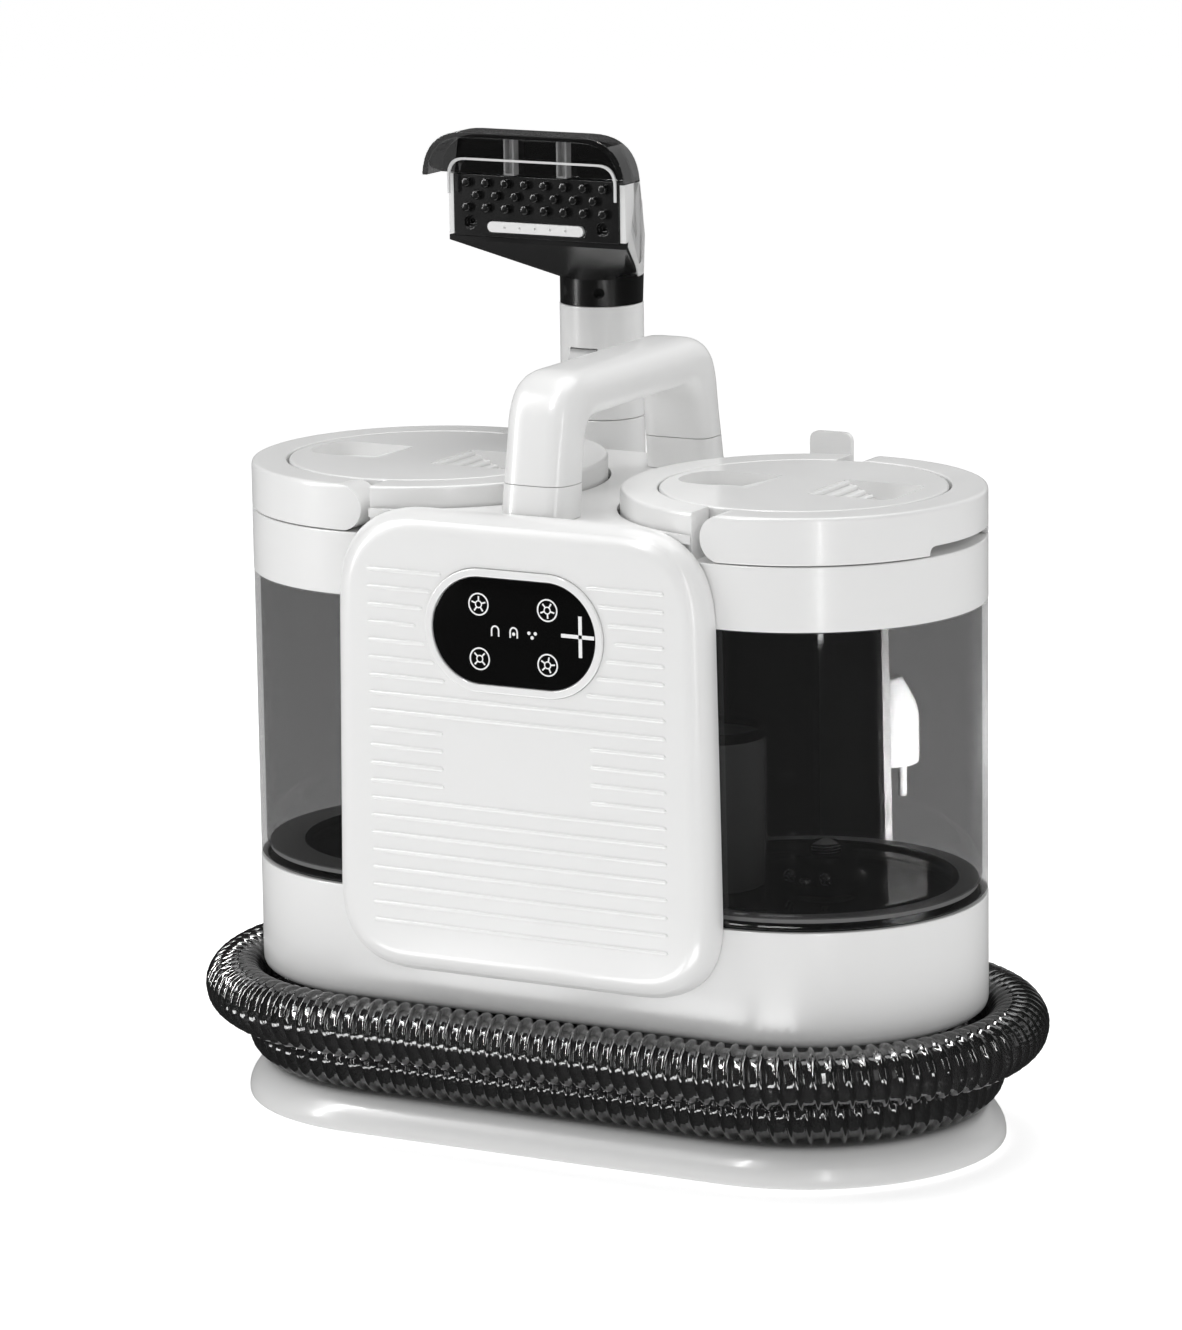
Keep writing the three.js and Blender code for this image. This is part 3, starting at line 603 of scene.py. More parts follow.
def cord_route():
    """From the gland down to the hooks, nine turns over them, and off to the plug."""
    hook_x = HOOK_X * MM
    middle, half = 0.229, 0.0605
    lead = [
        (-0.007, 0.116, 0.296),
        (0.001, 0.116, 0.2957),
        (0.011, 0.1163, 0.2915),
        (0.0175, 0.1155, 0.282),
        (0.022, 0.1135, 0.268),
        (0.0258, 0.1116, 0.254),
    ]
    tail = [
        (0.0375, 0.132, 0.28),
        (0.031, 0.137, 0.262),
        (0.026, 0.1435, 0.246),
        (0.0245, 0.148, 0.232),
        (0.028, 0.149, 0.218),
        (0.036, 0.149, 0.2085),
        (0.044, 0.149, 0.205),
        (0.0522, 0.149, 0.205),
    ]
    lays = []
    for turn in range(9):
        layer, place_in_layer = divmod(turn, 3)
        row = place_in_layer if layer % 2 == 0 else 2 - place_in_layer
        lays.append((HANK_R + CORD_D * (2 - layer), HANK_Y + CORD_D * row))
    lays.append((HANK_R + 0.001, lays[-1][1] + 0.004))
    # one turn as (across, rise) in radii and its share of the straight: down, under, up and over
    round_turn = [(-1, 0, t) for t in (0.25, 0, -0.35, -0.7)]
    round_turn += [(-cos(a), -sin(a), -1) for a in angles(8)]
    round_turn += [(1, 0, t) for t in (-0.6, -0.2, 0.2, 0.6)]
    round_turn += [(cos(a), sin(a), 1) for a in angles(8)]
    turns = []
    for (radius, y), (next_radius, next_y) in zip(lays, lays[1:]):
        for i, (u, v, straight) in enumerate(round_turn):
            share = max(0.0, (i - 19) / (len(round_turn) - 19))
            ease = share * share * (3 - 2 * share)
            r = radius + (next_radius - radius) * ease
            turns.append((hook_x + u * r, y + (next_y - y) * ease, middle + straight * half + v * r))
    return [*lead, *turns, *tail]


def add_cord():
    points = curve_through([ORIGIN + Vector(p) for p in cord_route()], 0.004)
    data = bpy.data.curves.new("power_cord", "CURVE")
    data.dimensions = "3D"
    data.bevel_depth = CORD_D / 2
    data.bevel_resolution = 5
    data.use_fill_caps = True
    spline = data.splines.new("POLY")
    spline.points.add(len(points) - 1)
    spline.points.foreach_set("co", [c for p in points for c in (*p, 1)])
    spline.use_smooth = True
    data.materials.append(CABLE)
    cord = bpy.data.objects.new("power_cord", data)
    bpy.context.scene.collection.objects.link(cord)
    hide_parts("cord_lead", "cord_hank", "cord_tail")
    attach(cord, "machine")
    add_plug()
    add_gland()


PLUG_X, PLUG_Y, PLUG_Z = 80, 149, 163


def lying(axis, x, y, z, turn=pi / 2):
    """Lays an upright solid over round an axis and puts its foot at a point."""
    return Matrix.Translation((x, y, z)) @ Matrix.Rotation(turn, 4, axis)


def add_plug():
    """A moulded angled plug: two round pins below, grip hollows round its waist, its cord at the side."""
    body = lathe([(0, 0), (18.5, 0, 1.5), (18.5, 29, 6), (14, 38, 3), (9.5, 46, 2.5), (0, 46)])
    grip = turned([(0, 7), (5, 9), (6, 16), (5, 23), (0, 25)], steps=24)
    nose = lathe([(0, 0), (6.5, 0), (6.5, 12, 2), (4.3, 27, 2), (4.3, 27.4), (0, 27.4)], steps=48)
    pin = lathe([(0, -19), (2.4, -19, 1.6), (2.4, 1), (0, 1)], steps=32)
    grips = [shifted(grip, PLUG_X + s * 22, PLUG_Y, PLUG_Z) for s in (-1, 1)]
    pins = [shifted(pin, PLUG_X + s * 8.4, PLUG_Y + s * 4.5, PLUG_Z) for s in (-1, 1)]
    shape = union(
        cut(shifted(body, PLUG_X, PLUG_Y, PLUG_Z), *grips),
        moved(nose, lying("Y", PLUG_X, PLUG_Y, PLUG_Z + 42, -pi / 2)),
    )
    plug = piece("mains_plug_body", shape, WHITE, "mains_plug", edge=0.5)
    contacts = piece("mains_plug_pins", joined(*pins), WHITE_GLOSS)
    contacts.parent = plug
    contacts.matrix_parent_inverse = plug.matrix_world.inverted()
    return plug


def add_gland():
    """The tapered strain relief, with rings moulded round it."""
    profile = [(0, 0.3), (7, 0.3), (7, 3)]
    for ring in range(6):
        z = 4 + ring * 3
        r = 6.6 - ring * 0.3
        profile += [(r - 1.2, z), (r - 1.2, z + 0.9), (r, z + 1.1), (r, z + 2.6)]
    outline = soft([(r, z, 0.25) for r, z in [*profile, (4.7, 22.4), (0, 22.6)]], closed=False, steps=2)
    shape = moved(turned(outline, steps=40), lying("Y", -30, FACE_Y + 9, 296))
    return piece("cord_strain_relief", shape, CABLE, "cord_gland")


add_cord()
add_hose()


# --- foot and motor base
def add_base():
    tray = [
        (0, 15), (90, 15, 2), (90, 1.5, 1), (101, 1.5, 2), (101, 8, 4), (97, 15, 4), (91, TRAY_TOP, 3),
        (0, TRAY_TOP),
    ]
    piece("base", run_round(soft(tray, closed=False)), WHITE, "base_tray")
    for node in (f"foot_{end}_{side}" for end in ("front", "rear") for side in ("left", "right")):
        low, high = drawn(node)
        shape = [(0, 0), (8, 0, 1), (10.5, 0.6, 1), (11, 2, 1), (11, high.z), (0, high.z)]
        foot = lathe(shape, (low.x + high.x) / 2, (low.y + high.y) / 2, steps=48)
        piece(f"rubber_{node}", foot, SEAL, node)

    wall = cut(
        run_round([(66.5, TRAY_TOP + 0.3), (66.5, HOUSING_BOTTOM - 0.3)]),
        run_round([(63.5, TRAY_TOP - 5), (63.5, HOUSING_BOTTOM + 5)]),
        *[block(i * 7.7 - 1.9, -75, 48, i * 7.7 + 1.9, -60, HOUSING_BOTTOM - 4) for i in range(-8, 9)],
    )
    piece("hose_groove", wall, GREY, "groove_core", edge=0.4)

    housing = [
        (0, HOUSING_BOTTOM + 4), (85, HOUSING_BOTTOM + 4, 2), (85, SEAT - 4.7), (88.6, SEAT - 4.7),
        (88.6, SEAT), (TANK_R, SEAT, 0.8), (TANK_R, HOUSING_BOTTOM, 5), (0, HOUSING_BOTTOM),
    ]
    piece("motor_housing", run_round(soft(housing, closed=False), steps=64), WHITE, "lower_housing")

    lid = [(0, SEAT - 4.3), (88.2, SEAT - 4.3), (88.2, SEAT, 0.6), (0, SEAT)]
    dishes = [prism(circle(77, x, 0, 128), SEAT - 2.7, SEAT + 5) for x in (-TANK_X, TANK_X)]
    holes = [prism(circle(15, TANK_X + 11), 100, 150), prism(circle(14.4, -TANK_X), 100, 150)]
    seat = cut(run_round(soft(lid, closed=False), steps=64), *dishes, *holes)
    piece("tank_seat_plate", seat, BLACK, "housing_lid", edge=0.5)
    for side, x in (("left", -TANK_X), ("right", TANK_X)):
        ring = lathe(hoop(72.5, 76.6, SEAT - 2.4, SEAT + 0.4, 0.8, 1.2), x, steps=128)
        piece(f"seat_seal_{side}", ring, SEAL, f"seat_ring_{side}")


def add_hose_cuff():
    """The black cuff that the hose leaves the foot by, with grip rings round it."""
    r = HOSE_D / MM / 2
    skin = [(0, 0.3), (r, 0.3)]
    for x in range(3, 28, 5):
        skin += [(r, x), (r, x + 2.6), (r - 0.8, x + 3), (r - 0.8, x + 4.4), (r, x + 4.8)]
    skin += [(r, 32), (0, 32)]
    lie = lying("Y", -10, LOW_TURN["rho"] / MM, LOW_TURN["z"] / MM)
    cuff = moved(turned(skin, steps=64), lie)
    bore = moved(turned([(0, -2), (12, -2), (12, 24), (0, 24)], steps=48), lie)
    shape = cut(union(cuff, block(4, 67, 24, 20, 83, 50)), bore)
    piece("hose_cuff", shape, BLACK, "hose_connector", edge=0.4)


# --- covers between the tanks
def waist(half, y, clear, steps=36):
    """The outline of the space between the tanks, square at x = half and clear of them."""
    r = TANK_R + clear
    lift = asin(sqrt(r * r - (TANK_X - half) ** 2) / r)
    spread = [-lift + 2 * lift * i / steps for i in range(steps + 1)]
    right = [(TANK_X - r * cos(a), r * sin(a)) for a in spread]
    left = [(-x, -v) for x, v in right]
    return [(-half, -y), (half, -y), *right, (half, y), (-half, y), *left]


def cover_outline(inset, top, foot, shoulder):
    low, high = COVER_HALF + COVER_FLARE - inset, COVER_HALF - inset
    z0, z1 = COVER_BOTTOM + inset, top - inset
    corners = [(low, z0, foot), (high, z1, shoulder), (-high, z1, shoulder), (-low, z0, foot)]
    return soft([(x, z, max(reach - inset, 0.5)) for x, z, reach in corners], steps=14)


def shell(profile, top, foot, shoulder):
    """A cover lofted from (inset, y) steps of its outline."""
    return loft([[(x, y, z) for x, z in cover_outline(inset, top, foot, shoulder)] for inset, y in profile])


def edge_steps(y_side, y_face, reach, steps=8):
    """Steps of a soft quarter-round edge from the side of a cover to its face."""
    return [(reach * (1 - cos(a)), y_side + (y_face - y_side) * sin(a)) for a in angles(steps, pi / 2)]


def add_column():
    column = prism(waist(70, 92, 0.8), SEAT + 0.4, DECK - 5)
    ribs = []
    for side in (-1, 1):
        for turn in (-0.25, 0.32):
            r = TANK_R + 0.8
            x, y = side * (TANK_X - r * cos(turn)), r * sin(turn)
            ribs.append(prism(circle(1.6, x, y, 20), SEAT + 2, DECK - 6))
    piece("centre_pillar", cut(column, *ribs), BLACK, "centre_column", edge=0.8)


def add_deck():
    outline = round_rect(-COVER_HALF, -92, COVER_HALF, FACE_Y, 6)
    rounds = [prism(circle(TANK_R + 1.5, x, 0, 160), DECK - 20, DECK + 20) for x in (-TANK_X, TANK_X)]
    deck = cut(prism(outline, DECK - 4.7, DECK), *rounds)
    piece("deck", deck, WHITE, "deck_cover", edge=1.2)


def add_rear_cover():
    back = FACE_Y
    profile = [(3, back - 3), (3, TANK_R + 1), (0, TANK_R + 1), *edge_steps(back - 7, back, 7)]
    vents = [round_rect(x, 104, x + 3.4, 134, 1.6) for x in (-40 + 7.2 * i for i in range(10))]
    skin = cut(shell(profile, DECK - 5, 40, 8), *[plate(vent, back - 8, back + 8) for vent in vents])
    boss = block(-44, back - 1, 287, -30, back + 18, 305)
    piece("back_cover", union(skin, boss), WHITE, "rear_cover", edge=0.8)


CONTROL_Z, CONTROL_R, CONTROL_HALF = 273.2, 27.3, 18.9
RIB_FIRST, RIB_PITCH, RIB_COUNT, RIB_HALF = 299.5, 9.04, 21, 84


def rib_inner_end(row):
    """Rows of ribs stop short of the controls and of the bare patch below them."""
    away = abs(RIB_FIRST - row * RIB_PITCH - CONTROL_Z)
    if row < 7:
        return 56.4 - 0.48 * away - 0.004 * away * away
    return 41.5 if 8 < row < 13 else 0


def ridge(x0, x1, z):
    """A low half-round ridge on the panel's face with its ends run out."""
    rings = []
    reach = 1.6
    for share in (0, 0.35, 0.7, 1):
        turn = pi / 2 * share
        rings.append((x0 + reach * (1 - cos(turn)), max(sin(turn), 0.05)))
    rings += [(x1 + x0 - x, size) for x, size in rings[::-1]]
    section = [(1.15 * cos(a), 0.95 * sin(a)) for a in angles(8)] + [(0, -0.6)]
    return loft([[(x, -FACE_Y + 0.12 - v * size, z + u * size) for u, v in section] for x, size in rings])


def add_front_panel():
    profile = [
        (4, -FACE_Y + 3), (4, -TANK_R - 0.5), (0, -TANK_R - 0.5), *edge_steps(-FACE_Y + 12, -FACE_Y, 12, 10)
    ]
    recess = plate(stadium(CONTROL_R + 4.3, CONTROL_HALF, 0, CONTROL_Z), -FACE_Y - 5, -FACE_Y + 1.7)
    skin = cut(shell(profile, PANEL_TOP, 44, 48), recess)
    piece("panel_shell", skin, WHITE, "front_panel")
    ridges = []
    for row in range(RIB_COUNT):
        z = RIB_FIRST - row * RIB_PITCH
        inner = rib_inner_end(row)
        spans = [(-RIB_HALF, -inner), (inner, RIB_HALF)] if inner else [(-RIB_HALF, RIB_HALF)]
        ridges += [ridge(x0, x1, z) for x0, x1 in spans]
    piece("panel_ribs", joined(*ridges), WHITE)


def oval_band(inner, outer, y_back, y_front, reach):
    """A ring round the control oval with soft front edges."""
    section = soft(hoop(inner, outer, y_back, y_front, 0.2, reach))
    outlines = [(stadium(r, CONTROL_HALF, 0, CONTROL_Z), y) for r, y in section]
    return loft([[(x, y, z) for x, z in outline] for outline, y in outlines], loop=True)


def arc_stroke(points, width, y):
    """A thin raised stroke along some (x, z) points on the control glass."""
    sides = []
    for i, point in enumerate(points):
        here = Vector(point)
        along = (Vector(points[min(i + 1, len(points) - 1)]) - Vector(points[max(i - 1, 0)])).normalized()
        across = Vector((-along.y, along.x)) * width / 2
        sides.append((here + across, here - across))
    outline = [tuple(a) for a, _ in sides] + [tuple(b) for _, b in sides[::-1]]
    return plate(outline, y, y + 0.25)


def icon(x, z, spokes, turn, y):
    """A round touch symbol: an outer ring, a small hub and a few spokes."""
    strokes = []
    for r, width in ((5.4, 0.75), (1.7, 0.6)):
        full = [(x + r * cos(a), z + r * sin(a)) for a in angles(40, 2 * pi)]
        strokes += [arc_stroke(full[:21], width, y), arc_stroke(full[20:], width, y)]
    for a in (turn + step for step in angles(spokes, 2 * pi)[:-1]):
        strokes.append(arc_stroke([(x + r * cos(a), z + r * sin(a)) for r in (2, 4.1)], 0.8, y))
    return strokes


def add_controls():
    front = -FACE_Y - 1.6
    bezel = oval_band(CONTROL_R, CONTROL_R + 4, -FACE_Y + 1.4, front, 0.9)
    piece("control_frame", bezel, WHITE_GLOSS, "control_bezel")
    glass_y = -FACE_Y - 0.8
    steps = [(0.4, -FACE_Y + 1.4), (0.4, glass_y + 0.5), (0.6, glass_y + 0.12), (1.1, glass_y)]
    glass = loft(
        [[(x, y, z) for x, z in stadium(CONTROL_R - r, CONTROL_HALF, 0, CONTROL_Z)] for r, y in steps]
    )
    piece("touch_panel", glass, BLACK_GLASS, "control_glass")
    y = glass_y - 0.15
    marks = []
    symbols = [(-19.4, 286.5, 5, 0.3), (19.4, 286.5, 5, 1.0), (-19.2, 258.9, 4, 0.8), (19.2, 258.9, 5, 0.1)]
    for x, z, spokes, turn in symbols:
        marks += icon(x, z, spokes, turn, y)
    for x in (-10.2, 0.3):
        arch = [(x + 2 * cos(a), 274 + 2.2 * sin(a)) for a in (pi * i / 12 for i in range(13))]
        marks.append(arc_stroke([(x + 2, 271), *arch, (x - 2, 271)], 0.8, y))
    for x, z in ((8.9, 274.2), (12.5, 274.2), (10.7, 272), (0.3, 273)):
        marks.append(plate(circle(0.9, x, z, 16), y, y + 0.25))
    marks.append(arc_stroke([(27, 274.6), (45.4, 274.6)], 1.9, y))
    marks.append(arc_stroke([(37.7, 285), (37.7, 264.2)], 1.9, y))
    piece("touch_symbols", joined(*marks), PRINT)


# --- carry handle
HANDLE_HALF = 19
HANDLE_SPLIT = 344
HANDLE_OUTER = (-92, 95, 398, 13, 24)
HANDLE_INNER = (-65, 67, 374.5, 5, 14)


def handle_line(line, steps=12):
    """The handle's side outline, as its front foot, its arch over the top and its rear foot."""
    front, back, top, lean, corner = line
    shoulder = top - corner
    shares = [i / steps for i in range(1, steps)]

    def leg(foot, across, low, high, count):
        heights = [low + (high - low) * i / count for i in range(count + 1)]
        return [(foot + across * 0.7 * (z - DECK) / (shoulder - DECK), z) for z in heights]

    feet = [leg(foot, across, DECK + 0.3, HANDLE_SPLIT, 3) for foot, across in ((front, lean), (back, -lean))]
    rise, fall = (
        leg(foot, across, HANDLE_SPLIT + 0.35, shoulder, 5) for foot, across in ((front, lean), (back, -lean))
    )
    over_front = (front + lean + corner, top)
    over_back = (back - lean - corner, top)
    arch = [
        *rise,
        *bent(rise[-1], (front + lean, top), over_front, shares),
        *[tuple(Vector(over_front).lerp(Vector(over_back), i / 10)) for i in range(11)],
        *bent(over_back, (back - lean, top), fall[-1], shares),
        *fall[::-1],
    ]
    return feet[0], arch, feet[1]


def handle_section(outer, inner, shrink=0.0):
    """One ring of the handle between a point of its outer and one of its inner outline."""
    outer, inner = Vector(outer), Vector(inner)
    depth = (outer - inner).length - 2 * shrink
    away = (outer - inner).normalized()
    half = HANDLE_HALF - shrink
    corners = [(half, 0, 9), (half, depth, 13), (-half, depth, 13), (-half, 0, 9)]
    return [(x, *(inner + away * (d + shrink))) for x, d in soft(corners, steps=7)]


def add_handle():
    front, arch, back = (
        list(zip(outer, inner)) for outer, inner in zip(handle_line(HANDLE_OUTER), handle_line(HANDLE_INNER))
    )
    rings = [handle_section(*arch[0], 0.5), *[handle_section(a, b) for a, b in arch]]
    rings.append(handle_section(*arch[-1], 0.5))
    piece("handle", loft(rings), WHITE, "handle_shell")
    feet = [
        loft([*[handle_section(a, b) for a, b in steps], handle_section(*steps[-1], 0.6)])
        for steps in (front, back)
    ]
    piece("handle_feet", joined(*feet), WHITE, "handle_core")


# --- cord hooks and tool clip
def cord_hook(z, up, reach):
    root, end = z - 6 * up, z + reach * up
    arm = block(HOOK_X - 8, FACE_Y + 0.3, min(z, root), HOOK_X + 8, 133, max(z, root))
    finger = plate(round_rect(HOOK_X - 12, min(root, end), HOOK_X + 12, max(root, end), 5), 129.5, 133)
    return union(arm, finger)


def add_hooks():
    for name, z, up, reach in (("upper", 303, 1, 38), ("lower", 155, -1, 25)):
        piece(f"hook_{name}", cord_hook(z, up, reach), WHITE, f"cord_hook_{name}", edge=1.0)


def add_clip():
    x, y = TOOL_X, TOOL_Y
    wall = [(TUBE_R + 0.7, 279, 0.6), (26.6, 279, 1), (26.6, 318, 1.4), (TUBE_R + 0.7, 318, 1.4)]
    ledge = [(20.2, 279), (26, 279), (26, 284.4), (20.2, 284.4)]
    ring = union(lathe(wall, x, y), turned(ledge, x, y, loop=True))
    bracket = cut(block(x - 17, FACE_Y + 0.3, 279, x + 17, y - 10, 318), prism(circle(26, x, y), 200, 400))
    mouth = block(x - 18, y + 12, 200, x + 18, y + 60, 400)
    behind = block(x - 40, 60, 200, x + 40, FACE_Y + 0.3, 400)
    piece("tool_holder", cut(union(ring, bracket), mouth, behind), WHITE, "tool_clip", edge=0.6)


# --- tanks
RING_IN = 74
NECK_R = 72.6
RIM_IN = 73.2


def slab(x0, x1):
    """All the space between two distances from the middle plane."""
    return block(min(x0, x1), -200, 0, max(x0, x1), 200, 500)


def add_jar(word, x, hole_x, hole_r):
    """The smoked jar, with the hole in its floor for what stands there."""
    wall = [
        (0, GLASS_LOW), (91.8, GLASS_LOW, 3), (91.8, GLASS_TOP), (88.8, GLASS_TOP), (88.8, FLOOR + 2, 3),
        (0, FLOOR),
    ]
    jar = cut(lathe(wall, x, steps=160), prism(circle(hole_r, hole_x), 100, 200))
    piece(f"{word}_jar", jar, SMOKE, f"tank_{word}_glass", f"{word}_tank")


def add_collar(word, side):
    """The white band, with its raised rim on the side where the other tank stands."""
    x, tank = side * TANK_X, f"{word}_tank"
    band = [
        (TANK_R, GLASS_TOP + 0.4, 0.8), (TANK_R, BAIL_LOW - 0.6, 0.8), (NECK_R, BAIL_LOW - 0.6),
        (NECK_R, 331), (70.6, 331), (70.6, 302), (NECK_R, 302), (NECK_R, 309), (88.9, 309),
        (88.9, GLASS_TOP + 0.4),
    ]
    rim = lathe([(RIM_IN, 309), (TANK_R, 309), (TANK_R, TOP, 2), (RIM_IN, TOP, 1.2)], x, steps=160)
    rim_end = x - side * 16.6
    collar = union(lathe(band, x, steps=160), common(rim, slab(rim_end, rim_end - side * 200)))
    piece(f"{word}_collar", collar, WHITE, f"tank_{word}_collar", tank, edge=0.8)
    seal = lathe(hoop(68.3, 70.3, 318, 321, 0.8, 0.8), x)
    piece(f"{word}_cap_seal", seal, SEAL, f"tank_{word}_gasket", f"{word}_cap")
    for end, sign in (("front", -1), ("rear", 1)):
        pin = along_y(3.3, x, BAIL_Z, *sorted((sign * 70.9, sign * 84)))
        piece(f"{word}_pin_{end}", pin, WHITE, f"tank_{word}_pin_{end}", tank, edge=0.4)


def add_bail(word, side):
    """The outer half of the top ring: a carrying handle with a finger notch under its middle."""
    x = side * TANK_X
    section = [(RING_IN, BAIL_LOW, 0.8), (TANK_R, BAIL_LOW, 1), (TANK_R, TOP, 2.4), (RING_IN, TOP, 1)]
    round_ends = along_y((TOP - BAIL_LOW) / 2, x, BAIL_Z, -150, 150, steps=64)
    ring = common(lathe(section, x, steps=160), union(slab(x, x + side * 200), round_ends))
    notch = sideways(round_rect(-34, 290, 34, 319, 4), *sorted((x + side * 70, x + side * 120)))
    sockets = [along_y(3.8, x, BAIL_Z, *sorted((s * 70, s * 84.6))) for s in (-1, 1)]
    piece(f"{word}_bail", cut(ring, notch, *sockets), WHITE, f"tank_{word}_bail", f"{word}_bail", edge=1.0)


def add_cap(word, side):
    """The screw lid, with a thumb dish on one side and a finger pocket with a ridged lip on the other."""
    x, lid = side * TANK_X, f"{word}_cap"
    body = [
        (0, 322), (64, 322), (64, 306), (69.8, 306), (69.8, 317.7), (68, 317.7), (68, 321.3), (69.8, 321.3),
        (69.8, 331.4), (CAP_R, 331.4), (CAP_R, TOP, 1.4), (0, TOP),
    ]
    dish = common(
        plate([(x - 68, 331), (x - 44, 331), (x - 21, TOP - 0.4), (x - 21, 345), (x - 68, 345)], -20, 20),
        prism(soft([(x - 20, -19), (x - 20, 19), (x - 67, 19, 18), (x - 67, -19, 18)], steps=12), 300, 360),
    )
    slope = [(12, TOP - 0.5), (30, 329), (42, 328.5), (60, 334), (60, 345), (12, 345)]
    pocket = common(
        plate([(x + u, z) for u, z in slope], -22, 22),
        prism(round_rect(x + 10, -22, x + 58, 22, 7), 300, 360),
    )
    slit = plate(round_rect(x + 30, 325.4, x + 40, 330, 1.5), -17, 17)
    shape = cut(lathe(body, x, steps=160), dish, pocket, slit)
    piece(f"{word}_lid", shape, WHITE, f"tank_{word}_cap", lid, edge=0.7)
    # A dark matte sheet set inside the slit: painted shade for the slit's shadowed depth.
    shade = plate(round_rect(x + 30.2, 324.8, x + 39.8, 327.4, 0.5), -16.8, 16.8)
    piece(f"{word}_lid_slit", shade, BLACK_MATTE, body=lid)
    lips = [along_y(1.5, x + 14.5 + 4.5 * i, TOP - 1.4 - 2.1 * i, -20, 20, steps=20) for i in range(4)]
    piece(f"{word}_lid_grip", joined(*lips), WHITE, body=lid, edge=0.4)


def screw(x, y, z):
    """A pan-head screw standing up, with a cross recess."""
    head = lathe([(0, 0), (3.4, 0), (3.4, 1.4, 1.2), (0, 2)], x, y, steps=32)
    slots = [block(x - a, y - b, z + 1.1, x + a, y + b, z + 4) for a, b in ((1.9, 0.35), (0.35, 1.9))]
    return cut(shifted(head, z=z), *slots)


def coil(x, y, z0, z1, r, wire, turns):
    """A wire spring standing on z0."""
    rings = []
    steps = turns * 20
    for i, a in enumerate(angles(steps, 2 * pi * turns)):
        middle = Vector((x + r * cos(a), y + r * sin(a), z0 + (z1 - z0) * i / steps))
        outward = Vector((cos(a), sin(a), 0))
        section = [outward * cos(b) + Vector((0, 0, 1)) * sin(b) for b in angles(8, 2 * pi)[:-1]]
        rings.append([tuple(middle + offset * wire) for offset in section])
    return loft(rings)


def add_clean_tank_parts():
    """What stands on the clean-water tank's floor: its outlet valve and the grey inner cup."""
    x, tank = TANK_X + 11, "right_tank"
    body = [
        (4.4, GLASS_LOW - 1), (12, GLASS_LOW - 1), (12, 134.3), (21, 134.3, 0.8), (21, 139, 1.2),
        (16, 141, 1.5), (16, 151, 1.5), (4.4, 151),
    ]
    ears = [lathe([(0, 134.3), (6, 134.3), (6, 140, 1), (0, 140)], x, s * 23, 40) for s in (-1, 1)]
    shroud = cut(block(x - 17, -21, FLOOR + 0.3, x + 17, -6, 148), prism(circle(12, x), 100, 200))
    ears = [cut(ear, prism(circle(12, x), 100, 136)) for ear in ears]
    valve = union(lathe(body, x, steps=80), shroud, *ears)
    piece("outlet_valve", valve, BLACK, "valve_body", tank, edge=0.8)
    front = [moved(screw(0, 0, 0), lying("X", x + s * 10, -21, 142)) for s in (-1, 1)]
    heads = joined(*front, *[screw(x, s * 23, 140.1) for s in (-1, 1)])
    piece("outlet_valve_screws", heads, STEEL, body=tank)
    stem = [
        (0, 128.6), (4.1, 128.6, 1), (4.1, 151.3), (7.5, 151.3, 0.6), (7.5, 154, 0.8), (3, 157, 0.8),
        (0, 157),
    ]
    piece("outlet_plunger", lathe(stem, x, steps=48), WHITE, "valve_plunger", "plunger")
    piece("outlet_spring", coil(x, 0, 151.4, 156, 9, 0.5, 3), BLACK, body=tank)
    cup_x, cup_y = TANK_X - 40, -24
    cup = [(0, 134.4), (27, 134.4, 3), (27, 216, 0.8), (25, 216, 0.8), (25, 138, 2), (0, 138)]
    piece("measuring_cup", lathe(cup, cup_x, cup_y), SMOKE_CUP, "inner_cup", tank)
    rim = lathe(hoop(24.8, 27.4, 211.5, 216.4, 0.6, 0.8), cup_x, cup_y)
    piece("measuring_cup_rim", rim, BLACK, body=tank)


def add_floor_ring(word, x, inside):
    """The raised ring moulded on a tank's floor, and the lighter ledge round it."""
    outside = inside + 3
    start = outside + 0.3
    ring = lathe(hoop(inside, outside, FLOOR + 0.2, FLOOR + 3.6, high=1), x, steps=128)
    ledge = [(start, FLOOR + 0.2), (87, FLOOR + 0.2), (87, FLOOR + 2.9), (start, FLOOR + 2.6)]
    ledge = turned(ledge, x, steps=128, loop=True)
    piece(f"{word}_floor_ring", ring, BLACK, body=f"{word}_tank")
    piece(f"{word}_floor_ledge", ledge, GREY_LIGHT, body=f"{word}_tank")


def add_dirty_tank_parts():
    pipe = [
        (11.4, GLASS_LOW), (14, GLASS_LOW), (14, 134.3), (22, 134.3, 0.8), (22, 138, 1.2), (14, 138, 2),
        (14, 288, 0.8), (11.4, 288, 0.8),
    ]
    piece("dirty_standpipe", lathe(pipe, -TANK_X, steps=64), BLACK, "standpipe", "left_tank")
    ring = [(14.8, 146, 1.5), (31, 146, 3), (31, 175, 3), (14.8, 175, 1.5)]
    piece("shut_off_float", lathe(ring, -TANK_X, steps=64), BLACK_MATTE, "float_ring", "float")


# --- hand tool
SEAM = 341
COLLAR = 402
FACE = {"y": -70, "half": 52, "z0": 441, "z1": 476}


def tool_piece(name, solid, material, node=None, body="hand_tool", edge=0.0):
    """A piece drawn about the tool's own upright axis."""
    return piece(name, shifted(solid, TOOL_X, TOOL_Y), material, node, body, edge=edge)


def both(x, y, z):
    return [(x, y, z), (-x, y, z)]


